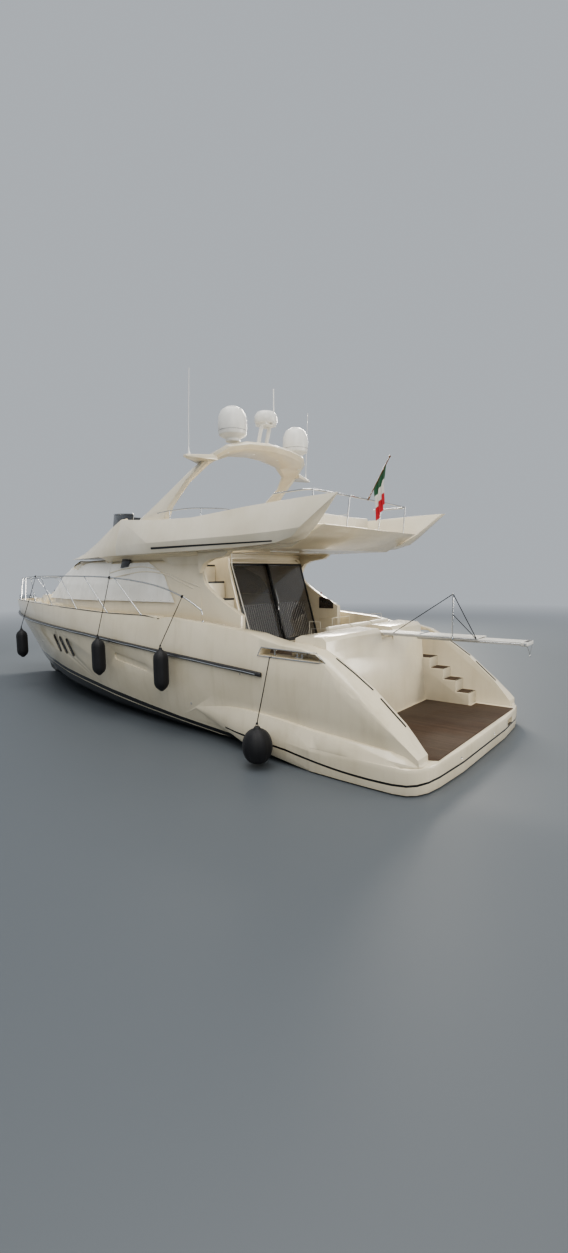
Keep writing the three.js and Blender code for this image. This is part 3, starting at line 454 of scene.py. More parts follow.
tree.links.new(mixColours(tree, dark, painted, stripe["black"]), shader.inputs["Base Color"])

# Oiled teak with black caulking. Its wood tones are darker than bare teak's own colour everywhere it is used.
# That darkening is painted shade, standing in for the shadow of the left-out tender over the platform.
teak = {"mean": (0.14, 0.09, 0.055), "deep": (0.07, 0.04, 0.024), "pale": (0.12, 0.074, 0.045),
        "plank": 0.056, "grain": (0.045, 0.026, 0.016), "grey": (0.11, 0.088, 0.068),
        "caulk": (0.02, 0.017, 0.016)}
shadeDarkTeakFinish, tree, shader, place = newFinish("laidTeakPaintedShade", teak["mean"], 0.75, Specular_IOR_Level=0.25)
rows = placed(tree, planks, place, Width=teak["plank"])
wood = mixColours(tree, rows.outputs[1], teak["deep"], teak["pale"])
wood = mixColours(tree, ramp(tree, rows.outputs[2], 0.35, 0.75), wood, teak["grain"])
weather = sums(tree, "MULTIPLY", placed(tree, streaks, place, Fineness=1.0).outputs[1], 0.5)
greyed = mixColours(tree, weather, wood, teak["grey"])
tree.links.new(mixColours(tree, rows.outputs[0], greyed, teak["caulk"]), shader.inputs["Base Color"])
addBump(tree, shader, sums(tree, "SUBTRACT", sums(tree, "MULTIPLY", rows.outputs[2], 0.3), rows.outputs[0]),
        0.5, 0.003)


def clothFinish(name, colour, shade, threads, wrinkle, roughness=0.85, sheen=0.2, patch=0.4):
    # Woven cloth, soiled in patches, with soft creases.
    material, tree, shader, place = newFinish(name, colour, roughness, Sheen_Weight=sheen,
                                              Sheen_Roughness=0.5)
    cloth = placed(tree, weave, place, Threads=threads)
    marks = placed(tree, streaks, place, Fineness=1.1)
    tone = mixColours(tree, sums(tree, "MULTIPLY", marks.outputs[1], patch), colour, shade)
    tone = mixColours(tree, sums(tree, "MULTIPLY", marks.outputs[0], patch), tone, shade)
    tree.links.new(tone, shader.inputs["Base Color"])
    slack = {"Vector": place, "Scale": 5.0, "Detail": 4.0, "Roughness": 0.5, "Distortion": 0.8}
    folds = put(tree, "ShaderNodeTexNoise", slack)
    height = sums(tree, "ADD", sums(tree, "MULTIPLY", folds.outputs[0], wrinkle),
                  sums(tree, "MULTIPLY", cloth.outputs[0], 0.06))
    addBump(tree, shader, height, 0.35, 0.02)
    return material


canvasFinish = clothFinish("whiteCanvas", (0.90, 0.885, 0.84), (0.66, 0.64, 0.58), 160.0, 0.9)
vinylFinish = clothFinish("creamVinyl", (0.78, 0.735, 0.63), (0.6, 0.54, 0.42), 260.0, 0.35, 0.45, 0.05, 0.25)


def plain(name, colour, roughness, metallic=0.0, scale=60.0, variety=0.18, bump=0.15, **sockets):
    # A plain finish with its own grain, rub marks and a little tone.
    material, tree, shader, place = newFinish(name, colour, roughness, metallic, **sockets)
    fine = placed(tree, grain, place, Scale=scale)
    wide = placed(tree, grain, place, Scale=scale * 0.06)
    deep = tuple(value * (1 - variety) for value in colour)
    tree.links.new(mixColours(tree, ramp(tree, wide.outputs[0], 0.35, 0.7), colour, deep),
                   shader.inputs["Base Color"])
    tree.links.new(ramp(tree, fine.outputs[0], 0.3, 0.75, roughness * 0.75, min(roughness * 1.4, 1.0)),
                   shader.inputs["Roughness"])
    addBump(tree, shader, fine.outputs[0], bump, 0.002)
    return material


steelFinish = plain("polishedSteel", (0.66, 0.67, 0.68), 0.14, 1.0, 40.0, 0.12, 0.05)
railFinish = plain("darkRubRail", (0.035, 0.034, 0.036), 0.32, 0.0, 30.0, 0.3, 0.2, Coat_Weight=0.2)
rubberFinish = plain("blackRubber", (0.014, 0.014, 0.016), 0.5, 0.0, 45.0, 0.4, 0.3, Sheen_Weight=0.15)
trimFinish = plain("blackTrim", (0.018, 0.018, 0.019), 0.4, 0.0, 60.0, 0.3, 0.2)
bronzeFinish = plain("seaBronze", (0.42, 0.27, 0.12), 0.35, 1.0, 18.0, 0.35, 0.3)
whitePlasticFinish = plain("whitePlastic", (0.80, 0.79, 0.755), 0.3, 0.0, 90.0, 0.07, 0.08)
whitePaintFinish = plain("whitePaint", (0.74, 0.725, 0.68), 0.35, 0.0, 70.0, 0.12, 0.12)
ropeFinish = plain("blackRope", (0.022, 0.021, 0.024), 0.85, 0.0, 260.0, 0.35, 0.6)
panelFinish = plain("brownPanel", (0.07, 0.05, 0.038), 0.3, 0.0, 50.0, 0.3, 0.1)
lampFinish = plain("lampLens", (0.86, 0.85, 0.8), 0.18, 0.0, 60.0, 0.05, 0.05)
redFinish = plain("redKnob", (0.45, 0.03, 0.02), 0.35, 0.0, 60.0, 0.2, 0.05)
varnishFinish = plain("varnishedTeak", (0.28, 0.13, 0.055), 0.22, 0.0, 8.0, 0.45, 0.1, Coat_Weight=0.5)


def glassFinish(name, colour, roughness, clear=0.0, coat=0.6):
    # Glass with faint smears, and a little unevenness in its reflections.
    material, tree, shader, place = newFinish(name, colour, roughness, Coat_Weight=coat, Coat_Roughness=0.03,
                                              Transmission_Weight=clear)
    smear = placed(tree, streaks, place, Fineness=0.8)
    tree.links.new(ramp(tree, smear.outputs[0], 0.0, 1.0, roughness, roughness + 0.1),
                   shader.inputs["Roughness"])
    addBump(tree, shader, placed(tree, grain, place, Scale=1.6).outputs[0], 0.04, 0.01)
    return material


darkGlassFinish = glassFinish("darkGlass", (0.016, 0.016, 0.019), 0.05)
smokedFinish = glassFinish("smokedScreen", (0.05, 0.055, 0.065), 0.06, 0.35)
doorGlassFinish = glassFinish("doorGlass", (0.72, 0.7, 0.68), 0.03, 0.95, 0.0)
print("finishes mixed")


# Mouldings: the CAD shapes with rounded edges.
def lyingOn(normal, along):
    # Square directions along a surface, across it and out of it.
    normal = Vector(normal).normalized()
    across = normal.cross(Vector(along).normalized()).normalized()
    return across.cross(normal), across, normal


def stadiumCutter(place, normal, along, length, height, depth):
    # A long round-ended plug for a recess, its flat face along the surface.
    obj = added(bpy.ops.mesh.primitive_cylinder_add, vertices=24, radius=height / 2, depth=depth * 2)
    pick(obj)
    bpy.ops.object.mode_set(mode="EDIT")
    mesh = bmesh.from_edit_mesh(obj.data)
    for vert in mesh.verts:
        vert.co.x += math.copysign((length - height) / 2, vert.co.x)
    bmesh.update_edit_mesh(obj.data)
    bpy.ops.object.mode_set(mode="OBJECT")
    obj.matrix_world = Matrix.Translation(place) @ Matrix(lyingOn(normal, along)).transposed().to_4x4()
    bake(obj)
    return obj


# The deck and the platform are moved by less than a millimetre, so no two faces share a plane.
outer = copyOf("hull")
for node, step in (("deck", (0, 0, -0.0006)), ("swim_platform", (0.0009, 0, 0.0006))):
    piece = copyOf(node)
    piece.data.transform(Matrix.Translation(step))
    outer = combine(outer, piece, "UNION")
# Portlights forward and the long recess amidships, on both sides.
portlights = {"places": ((10.69, 1.455), (10.30, 1.435), (9.89, 1.405)), "length": 0.5, "width": 0.15,
              "lean": 24, "deep": 0.014, "rim": 0.0065, "gap": 0.006, "pane": 0.006}
recess = {"x": 7.0, "z": 1.33, "length": 1.25, "height": 0.17, "rise": 0.13, "deep": 0.03}
lean = math.radians(portlights["lean"])
upAlong = Vector((math.sin(lean), 0, math.cos(lean)))
seats = []
for side in (1, -1):
    seats += [onFlank(outer, x, z, side) for x, z in portlights["places"]]
    place, normal = onFlank(outer, recess["x"], recess["z"], side)
    recessCut = stadiumCutter(place, normal, (1, 0, recess["rise"]), recess["length"], recess["height"],
                              recess["deep"])
    outer = combine(outer, recessCut, "DIFFERENCE")
for place, normal in seats:
    plug = stadiumCutter(place, normal, upAlong, portlights["length"], portlights["width"],
                         portlights["deep"])
    outer = combine(outer, plug, "DIFFERENCE")
tidyFaces(outer)
roundEdges(outer, 0.016)
settle(outer, "outerShell", hullFinish, "hull_gelcoat", smooth=42)
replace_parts(outer, "hull", "deck", "swim_platform")
print("outer shell joined", len(outer.data.polygons))

# Each piece's CAD node, finish, slot and edge width, then what isn't usual for it.
mouldings = {
    "coachroofShell": ("coachroof", mouldingFinish, "gelcoat", 0.02),
    "foredeckHatch": ("foredeck_hatch", darkGlassFinish, "hatch", 0.008, 2, "hatch"),
    "transomBlock": ("transom_block", mouldingFinish, "gelcoat", 0.022, 3),
    "deckhouseShell": ("deckhouse", mouldingFinish, "gelcoat", 0.014),
    "cockpitStair": ("fly_stair", mouldingFinish, "gelcoat", 0.016, 3),
    "flyDeck": ("fly_deck", mouldingFinish, "gelcoat", 0.02, 3),
    "wingPort": ("wing_port", wingFinish, "gelcoat", 0.018, 3, "boat", 25),
    "wingStarboard": ("wing_stbd", wingFinish, "gelcoat", 0.018, 3, "boat", 25),
    "flyFront": ("fly_front", mouldingFinish, "gelcoat", 0.02, 3),
    "helmConsole": ("helm_console", mouldingFinish, "gelcoat", 0.03, 3),
    "radarArch": ("radar_arch", wingFinish, "gelcoat", 0.02, 3, "boat", 28),
    "domePort": ("dome_port", whitePlasticFinish, "dome", 0.02, 3, "boat", 28),
    "domeStarboard": ("dome_stbd", whitePlasticFinish, "dome", 0.02, 3, "boat", 28),
    "radarMast": ("radar_mast", whitePlasticFinish, "dome", 0.008),
    "rubRailPort": ("rub_rail_port", railFinish, "rub_rail", 0.008, 3, "boat", 20),
    "rubRailStarboard": ("rub_rail_stbd", railFinish, "rub_rail", 0.008, 3, "boat", 20),
    "flyTable": ("fly_table", varnishFinish, "teak", 0.012, 3),
    "windshield": ("fly_windshield", smokedFinish, "smoked", 0.003),
    "anchorPiece": ("anchor", steelFinish, "stainless", 0.008),
    "bowRoller": ("bow_roller", steelFinish, "stainless", 0.004),
    "shaftPort": ("shaft_port", bronzeFinish, "bronze", 0.004),
    "propellerPort": ("propeller_port", bronzeFinish, "bronze", 0.004, 2, "port_propeller"),
    "rudderPort": ("rudder_port", bronzeFinish, "bronze", 0.006, 2, "port_rudder"),
    "shaftStarboard": ("shaft_stbd", bronzeFinish, "bronze", 0.004),
    "propellerStarboard": ("propeller_stbd", bronzeFinish, "bronze", 0.004, 2, "stbd_propeller"),
    "rudderStarboard": ("rudder_stbd", bronzeFinish, "bronze", 0.006, 2, "stbd_rudder"),
    "helmWheel": ("helm_wheel", rubberFinish, "wheel_rim", 0.003, 2, "helm"),
    "platformTeak": ("platform_teak", shadeDarkTeakFinish, "teak", 0.004),
}
shells = {title: refined(title, *look) for title, look in mouldings.items()}
sides = {1: "Port", -1: "Starboard"}
print("mouldings rounded")


# Fittings on the outside of the hull, each set on the skin by a ray.
def stadiumRing(place, normal, along, length, width, count=7):
    # Points round a long round-ended outline.
    along, across, _ = lyingOn(normal, along)
    ring = []
    for end in (1, -1):
        for i in range(count):
            turn = math.pi * (i / (count - 1) - 0.5)
            ring.append(place + along * end * ((length - width + width * math.cos(turn)) / 2)
                        + across * end * width / 2 * math.sin(turn))
    return ring


def cleatAt(place, size):
    # A horn cleat along the boat, on a base plate.
    place = Vector(place)
    parts = [block(place + Vector((0, 0, 0.005)), (size * 0.6, size * 0.2, 0.012), 0.004)]
    leg = [(size * out, size * up) for out, up in ((0, 0), (0.09, 0), (0.05, 0.05), (0.045, 0.22), (0, 0.23))]
    parts += [spun(leg, place + Vector((size * step, 0, 0)), 14) for step in (-0.17, 0.17)]
    horn = ((-0.5, 0.2256), (-0.25, 0.252), (0.25, 0.252), (0.5, 0.2256))
    parts.append(tube(smoothPath([place + Vector((size * out, 0, size * up)) for out, up in horn], 3),
                      size * 0.045, 3))
    return joined(parts)


def outermost(hits, side):
    # The farthest out of several ray hits on one side of the boat.
    return max((hit for hit in hits if hit[0]), key=lambda hit: side * hit[1].y, default=None)


rims, panes = [], []
for place, normal in seats:
    ring = stadiumRing(place + normal * 0.001, normal, upAlong, portlights["length"], portlights["width"])
    rims.append(tube(ring, portlights["rim"], 3, closed=True))
    glass = [portlights[key] - portlights["gap"] for key in ("length", "width")]
    panes.append(stadiumCutter(place - normal * portlights["deep"], normal, upAlong, *glass,
                               portlights["pane"]))
settle(joined(rims), "portlightRims", trimFinish, "rub_rail")
settle(joined(panes), "portlightPanes", darkGlassFinish, "window", smooth=25)

# Steel strip along the crest of each rub rail.
railStrip = {"from": 3.2, "pitch": 0.4, "stations": 32, "low": 1.35, "rayStep": 0.015, "rays": 62,
             "bar": 0.0095}
strips = []
for side, title in sides.items():
    crests = []
    for i in range(railStrip["stations"]):
        x = railStrip["from"] + railStrip["pitch"] * i
        heights = [railStrip["low"] + railStrip["rayStep"] * step for step in range(railStrip["rays"])]
        crests.append(outermost([flankRay(shells["rubRail" + title], x, z, side) for z in heights], side))
    strips.append(tube(smoothPath([found[1] for found in crests if found], 3), railStrip["bar"], 3))
settle(joined(strips), "rubRailStrips", steelFinish, "stainless")

# Steel frames round the hawse openings, with a cleat and rollers inside.
hawse = {"outline": ((1.80, 1.785), (2.00, 1.905), (3.13, 1.925), (3.20, 1.80)), "grow": 0.012, "bar": 0.011,
         "cleat": (2.42, 2.19, 1.791), "cleatSize": 0.3, "rollers": (2.0, 2.95), "rollerOut": 2.2,
         "sunk": 0.002,
         "roller": [(0.0, 0.0), (0.034, 0.0), (0.034, 0.008), (0.02, 0.016), (0.018, 0.05), (0.02, 0.084),
                    (0.034, 0.092), (0.034, 0.1), (0.0, 0.1)]}
frames, cleats = [], []
for side in (1, -1):
    outline = [Vector((x, 0, z)) for x, z in hawse["outline"]]
    edges = list(zip(outline, outline[1:] + outline[:1]))
    aways = [Vector((a.z - b.z, 0, b.x - a.x)).normalized() for a, b in edges]
    ring = []
    for i, (a, b) in enumerate(edges):
        steps = max(2, int((b - a).length / 0.12))
        for j in range(steps):
            away = aways[i] if j else (aways[i] + aways[i - 1]).normalized() * 1.3
            spot = a.lerp(b, j / steps) + away * hawse["grow"]
            place, normal = onFlank(outer, spot.x, spot.z, side)
            ring.append(place + normal * 0.002)
    frames.append(tube(ring, hawse["bar"], 3, closed=True))
    x, y, z = hawse["cleat"]
    cleats.append(cleatAt((x, side * y, z), hawse["cleatSize"]))
    for roller in hawse["rollers"]:
        cleats.append(spun(hawse["roller"], (roller, side * hawse["rollerOut"], z - hawse["sunk"]), 20))
settle(joined(frames), "hawseFrames", steelFinish, "stainless")
settle(joined(cleats), "hawseCleats", steelFinish, "stainless")

# Black grab strips down the edge of each quarter.
quarter = {"line": ((1.738, 1.832), (1.395, 1.622), (1.066, 1.397), (0.813, 1.172), (0.538, 0.931),
                    (0.389, 0.761)), "y": 2.115, "runs": ((0.0, 2.05), (2.55, 4.15)), "bar": 0.0125}
strips = []
for side in (1, -1):
    edge = smoothPath([(x, side * quarter["y"], z) for x, z in quarter["line"]], 10)
    for begin, end in quarter["runs"]:
        points = []
        for i in range(int(begin * 10), int(end * 10) + 1, 2):
            run = (edge[min(i + 1, len(edge) - 1)] - edge[max(i - 1, 0)]).normalized()
            away = Vector((run.z, 0, -run.x)) if run.x < 0 else Vector((-run.z, 0, run.x))
            away = away if away.z > 0 else -away
            place, normal = onSurface(outer, edge[i] + away * 0.25, -away)
            points.append(place + normal * 0.004)
        strips.append(tube(points, quarter["bar"], 3))
settle(joined(strips), "quarterStrips", trimFinish, "rub_rail")

# Dark strip along the top of the bulwarks, under the bow rails. It is a toe strip, and its black is partly
# painted shade along the bulwark's inner top edge.
toe = {"from": 6.0, "to": 15.4, "step": 0.47, "inboard": 0.035, "half": 0.02, "thick": 0.007}


def bulwarkTop(x, side, inboard):
    # A spot on the bulwark's top edge, so far in from its outside.
    wall, _ = onFlank(outer, x, 2.2 + max(x - 6, 0) * 0.012, side)
    return onTop(outer, x, wall.y - side * inboard, 3.6)


strips = []
for side in (1, -1):
    count = int((toe["to"] - toe["from"]) / toe["step"])
    tops = [bulwarkTop(toe["from"] + toe["step"] * i, side, toe["inboard"]) for i in range(count + 1)]
    points = smoothPath([place for place, _ in tops], 3)
    across = [Vector((0, side * toe["half"], 0))] * len(points)
    strips.append(band(points, across, [Vector((0, 0, 1))] * len(points), toe["thick"]))
settle(joined(strips), "toeStripsAndShade", trimFinish, "rub_rail")

# Skin fittings: drains and outlets on both sides, and two at the stern.
drains = {"flank": ((5.80, 1.12, 0.02), (5.93, 1.125, 0.02), (5.06, 0.66, 0.024), (8.75, 0.98, 0.018),
                    (12.3, 1.35, 0.018), (3.62, 1.42, 0.016)), "stern": ((1.2, 0.28), (-0.4, 0.28)),
          "lip": ((0.45, -0.012), (0.5, 0.004), (0.75, 0.007), (1, 0.003), (0.98, -0.006)),
          "outlet": [(0.008, -0.012), (0.009, 0.004), (0.015, 0.007), (0.02, 0.003), (0.0195, -0.006)]}
fittings = []
for side in (1, -1):
    for x, z, size in drains["flank"]:
        place, normal = onFlank(outer, x, z, side)
        fittings.append(spun([(size * share, height) for share, height in drains["lip"]], place, 18, normal))
for y, z in drains["stern"]:
    place, normal = onSurface(outer, (-2, y, z), (1, 0, 0))
    fittings.append(spun(drains["outlet"], place, 18, normal))
settle(joined(fittings), "skinFittings", steelFinish, "stainless")

# Teak on the cockpit sole and the stair from the platform.
sole = {"z": 1.54, "thick": 0.008,
        "fields": (((2.71, -2.025), (4.14, 2.025)), ((4.135, -1.63), (4.68, 0.96)),
                   ((2.245, -2.02), (2.715, -1.64)))}
pieces = [corner((*low, sole["z"]), (*high, sole["z"] + sole["thick"]), 0.003) for low,
          high in sole["fields"]]
settle(joined(pieces), "cockpitTeak", shadeDarkTeakFinish, "teak")
treads = {"edges": ((0.9, 0.67), (1.18, 0.91), (1.46, 1.13), (1.76, 1.35), (2.236, 0)), "thick": 0.011,
          "teak": (-2.0, -1.655), "nosing": (-2.02, -1.63), "bar": 0.008}
pieces, nosings = [], []
for (x, z), (behind, _) in zip(treads["edges"], treads["edges"][1:]):
    first, last = treads["teak"]
    pieces.append(corner((x + 0.035, first, z), (behind - 0.012, last, z + treads["thick"]), 0.004))
    nosings.append(tube([(x + 0.012, y, z + 0.001) for y in treads["nosing"]], treads["bar"], 2))
settle(joined(pieces), "stairTeak", shadeDarkTeakFinish, "teak")
settle(joined(nosings), "stairNosings", trimFinish, "rub_rail")

# Cleats on the foredeck and the side decks, and the windlass with its chain.
deckCleats = ((14.75, 0.62, 0.32), (7.6, 2.0, 0.28), (11.6, 1.62, 0.28))
settle(joined([cleatAt(onTop(outer, x, side * y, 3.4)[0], size) for x, y, size in deckCleats
               for side in (1, -1)]),
       "deckCleats", steelFinish, "stainless")
windlass = {"x": 14.98,
            "drum": [(0.0, 0.0), (0.15, 0.0), (0.15, 0.03), (0.09, 0.045), (0.085, 0.13), (0.06, 0.15),
                     (0.045, 0.17), (0.06, 0.23), (0.085, 0.25), (0.08, 0.27), (0.0, 0.275)],
            "chain": ((0.05, 0.09, 0.1), (0.3, 0.06, 0.08), (0.62, 0.0, 0.1)), "link": 0.012}
place, _ = onTop(outer, windlass["x"], 0, 3.4)
drum = spun(windlass["drum"], place, 28)
chain = tube(smoothPath([place + Vector(step) for step in windlass["chain"]], 5), windlass["link"], 2)
settle(joined([drum, chain]), "windlass", steelFinish, "stainless")
print("hull fittings set")


# Gangway: an outer section and a telescoping end, both with an open grate.
gangway = {"y": -0.09, "outer": (0.16, 2.19), "inner": (-0.55, 1.28), "rowPitch": 0.085, "barPitch": 0.054,
           "bar": 0.024, "frame": (2.003, 2.062), "beams": (0.6, 1.1, 1.6), "pin": (2.24, 2.032), "post": 0.6,
           "postHigh": 0.79,
           "socket": [(0.0, 0.0), (0.024, 0.0), (0.024, 0.03), (0.017, 0.045), (0.013, 0.05)],
           "knob": [(0.0, 0.0), (0.017, 0.0), (0.019, 0.012), (0.012, 0.024), (0.0, 0.026)],
           "stays": ((0, 0.19, 0.214, 2.06, 0.007), (0, 1.75, 0.214, 2.06, 0.007),
                     (0.36, 0.19, 0.216, 2.05, 0.006))}


def grate(begin, end, half, top, height):
    # Lengthwise bars over crossbars, leaving rows of square holes.
    y = gangway["y"]
    middle, bar = top - height / 2, gangway["bar"]
    first = block(((begin + end) / 2, y - half, middle), (end - begin, bar, height), 0.004)
    lanes = int(round(2 * half / gangway["barPitch"]))
    rungs = int((end - begin) / gangway["rowPitch"])
    cross = block((begin + bar / 2, y, middle - 0.001), (bar * 1.4, 2 * half, height - 0.004), 0.004)
    for piece, count, step in ((first, lanes, (0, 2 * half / lanes, 0)),
                               (cross, rungs, ((end - begin - bar) / rungs, 0, 0))):
        useModifier(piece, "ARRAY", count=count + 1, use_relative_offset=False, use_constant_offset=True,
                    constant_offset_displace=step)
    return joined([first, cross])


y = gangway["y"]
begin, end = gangway["outer"]
frameLow, frameHigh = gangway["frame"]
parts = [grate(begin + 0.01, end - 0.02, 0.17, 2.065, 0.02)]
for side in (1, -1):
    parts.append(corner((begin - 0.01, y + side * 0.183, frameLow),
                        (end, y + side * 0.210, frameHigh), 0.008, 3))
parts.append(corner((end - 0.04, y - 0.19, frameLow - 0.003), (end, y + 0.19, frameHigh + 0.002), 0.008))
for at in gangway["beams"]:
    parts.append(corner((at, y - 0.185, 2.02), (at + 0.03, y + 0.185, 2.043), 0.004))
deck = settle(joined(parts), "gangwayFrame", whitePaintFinish, "gangway", body="gangway")
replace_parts(deck, "gangway_outer")
# Hinge pin, side bars and the post that carries the stays.
pinX, pinZ = gangway["pin"]
parts = [tube([(pinX, y - 0.216, pinZ), (pinX, y + 0.216, pinZ)], 0.014, 4)]
for side in (1, -1):
    parts.append(tube([(begin, y + side * 0.2135, 2.034), (end, y + side * 0.2135, 2.034)], 0.0075, 3))
    parts.append(corner((2.19, y + side * 0.175, 2.018), (2.25, y + side * 0.205, 2.046), 0.004))
parts.append(tube([(1.22, y - 0.19, 2.07), (1.22, y + 0.19, 2.07)], 0.01, 3))
post = Vector((gangway["post"], y + 0.222, 2.02))
top = post + Vector((0, 0, gangway["postHigh"]))
parts.append(spun(gangway["socket"], post - Vector((0, 0, 0.01)), 20))
parts.append(tube([post, top], 0.0125, 4))
parts.append(spun(gangway["knob"], top - Vector((0, 0, 0.01)), 18))
settle(joined(parts), "gangwaySteel", steelFinish, "gangway", body="gangway")
lines = [tube([top - Vector((0, 0, drop)), (x, y + out, z)], thick, 3)
         for drop, x, out, z, thick in gangway["stays"]]
settle(joined(lines), "gangwayLines", ropeFinish, "rub_rail", body="gangway")
begin, end = gangway["inner"]
parts = [grate(begin + 0.01, end, 0.135, 2.033, 0.018)]
for side in (1, -1):
    parts.append(corner((begin - 0.02, y + side * 0.144, 1.972),
                        (end + 0.015, y + side * 0.170, 2.031), 0.007, 3))
parts.append(corner((begin - 0.085, y - 0.198, 1.962), (begin + 0.02, y + 0.198, 2.034), 0.016, 3))
endPiece = settle(joined(parts), "gangwayEnd", whitePaintFinish, "gangway", body="gangway_end")
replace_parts(endPiece, "gangway_inner")
# The bridle and its ring under the outer end.
ringPlace = Vector((-0.633, y, 1.795))
parts = [tube([(-0.628, y + side * 0.17, 1.968), ringPlace + Vector((0, 0, 0.02))], 0.005, 3)
         for side in (1, -1)]
turns = [turn * 0.524 for turn in range(12)]
ring = [ringPlace + Vector((0, 0.02 * math.cos(turn), 0.02 * math.sin(turn))) for turn in turns]
parts.append(tube(ring, 0.0045, 3, closed=True))
for side in (1, -1):
    parts.append(spun([(0.0, 0.0), (0.014, 0.0), (0.014, 0.012), (0.0, 0.014)],
                      (-0.6, y + side * 0.198, 1.998), 14, (0, side, 0)))
    parts.append(tube([(begin - 0.04, y + side * 0.174, 2.0), (end, y + side * 0.174, 2.0)], 0.006, 3))
settle(joined(parts), "gangwayBridle", steelFinish, "gangway", body="gangway_end")
tread = corner((-0.628, y - 0.15, 2.0335), (-0.56, y + 0.15, 2.0375), 0.002)
settle(tread, "gangwayTread", rubberFinish, "fender", body="gangway_end")
print("gangway built")


# Saloon door: two framed panes in the leaning bulkhead, with the pleated half curtain behind them.
lean = {"foot": 4.75, "footZ": 1.62, "rake": 0.29}


def leanTo(obj, off=0.0):
    # Shears a piece drawn upright round x = 0 into the bulkhead's leaning plane.
    bake(obj)
    for vert in obj.data.vertices:
        vert.co.x += lean["foot"] + off + lean["rake"] * (vert.co.z - lean["footZ"])
    return obj


def framedPane(off, y0, y1, z0, z1, name, body):
    # Four rounded bars round a pane of glass.
    rail, half = door["rail"], 0.0138
    bars = [corner((-half, y0, z0), (half, y0 + rail, z1), 0.005),
            corner((-half, y1 - rail, z0), (half, y1, z1), 0.005),
            corner((-half, y0 + rail - 0.004, z1 - rail), (half, y1 - rail + 0.004, z1), 0.005),
            corner((-half, y0 + rail - 0.004, z0), (half, y1 - rail + 0.004, z0 + rail * 1.3), 0.005)]
    frame = settle(leanTo(joined(bars), off), name + "Frame", trimFinish, "door", body=body)
    pane = corner((-0.004, y0 + rail - 0.006, z0 + rail),
                  (0.004, y1 - rail + 0.006, z1 - rail + 0.006), 0.001, 1)
    settle(leanTo(pane, off), name + "Pane", doorGlassFinish, "door", body=body)
    return frame


door = {"rail": 0.05, "fixed": 0.04, "leaf": -0.029, "grip": 0.009,
        "handle": ((0.0, 2.5), (-0.04, 2.515), (-0.046, 2.6), (-0.046, 2.75), (-0.04, 2.835), (0.0, 2.85))}
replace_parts(framedPane(door["fixed"], -0.399, 0.875, 1.653, 3.447, "doorFixed", "boat"), "door_fixed")
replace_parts(framedPane(door["leaf"], -1.635, -0.331, 1.656, 3.444, "doorLeaf", "door"), "door_leaf")
handle = [tube(smoothPath([(x, -0.365, z) for x, z in door["handle"]], 4), door["grip"], 3),
          block((-0.012, -0.365, 2.42), (0.014, 0.03, 0.07), 0.002)]
settle(leanTo(joined(handle), door["leaf"]), "doorHandle", steelFinish, "stainless", body="door")
surround = [corner((-0.03, -1.643, 3.452), (0.02, 0.9, 3.5), 0.008),
            corner((-0.012, 0.884, 1.63), (0.016, 0.9, 3.46), 0.004),
            corner((-0.05, -1.643, 1.625), (-0.001, 0.88, 1.645), 0.004)]
settle(leanTo(joined(surround)), "doorSurround", mouldingFinish, "gelcoat")
tracks = [corner((-0.05, -1.64, 3.447), (0.052, 0.878, 3.4535), 0.001, 1),
          corner((-0.045, -1.63, 1.6455), (0.05, 0.87, 1.651), 0.001, 1)]
settle(leanTo(joined(tracks)), "doorTracks", steelFinish, "stainless")

# Half curtain: pleats between two rods inside the panes, with dark stripes.
curtain = {"off": 0.115, "low": 1.68, "high": 2.52, "from": -1.585, "to": 0.84, "pitch": 0.072, "deep": 0.016,
           "columns": 270, "rows": 8, "stripes": 68.0, "pale": (0.5, 0.49, 0.47), "dark": (0.03, 0.03, 0.034)}
curtainFinish, tree, shader, place = newFinish("stripedCurtain", (0.42, 0.41, 0.4), 0.9, Sheen_Weight=0.3)
spread = put(tree, "ShaderNodeUVMap")
across = put(tree, "ShaderNodeSeparateXYZ", {0: spread.outputs[0]}).outputs[0]
stripes = sums(tree, "FRACT", sums(tree, "MULTIPLY", across, curtain["stripes"]))
onStripe = ramp(tree, sums(tree, "ABSOLUTE", sums(tree, "SUBTRACT", stripes, 0.5)), 0.2, 0.28)
tree.links.new(mixColours(tree, onStripe, curtain["pale"], curtain["dark"]), shader.inputs["Base Color"])
addBump(tree, shader, placed(tree, weave, place, Threads=400.0).outputs[0], 0.2, 0.003)
cloth = added(bpy.ops.mesh.primitive_grid_add, x_subdivisions=curtain["columns"],
              y_subdivisions=curtain["rows"], size=1)
for vert in cloth.data.vertices:
    s, t = vert.co.x + 0.5, vert.co.y + 0.5
    y = curtain["from"] + (curtain["to"] - curtain["from"]) * s
    deep = curtain["deep"] * (1.0 - 0.35 * t)
    fold = math.sin(2 * math.pi * y / curtain["pitch"] + 0.6 * math.sin(3.1 * y)) * deep
    vert.co = (fold, y, curtain["low"] + (curtain["high"] - curtain["low"]) * t)
leanTo(cloth, curtain["off"])
middle = (curtain["low"] + curtain["high"]) / 2
middleRow = [vert.co.copy() for vert in cloth.data.vertices if abs(vert.co.z - middle) < 0.01]
middleRow.sort(key=lambda co: co.y)
width = sum((b - a).length for a, b in zip(middleRow, middleRow[1:]))
settle(cloth, "halfCurtain", curtainFinish, "canvas", smooth=80)
rods = [tube([(0, curtain["from"] - 0.03, z), (0, curtain["to"] + 0.03, z)], 0.007, 3)
        for z in (curtain["low"] - 0.002, curtain["high"] + 0.004)]
rod = settle(leanTo(joined(rods), curtain["off"]), "curtainRods", steelFinish, "stainless")

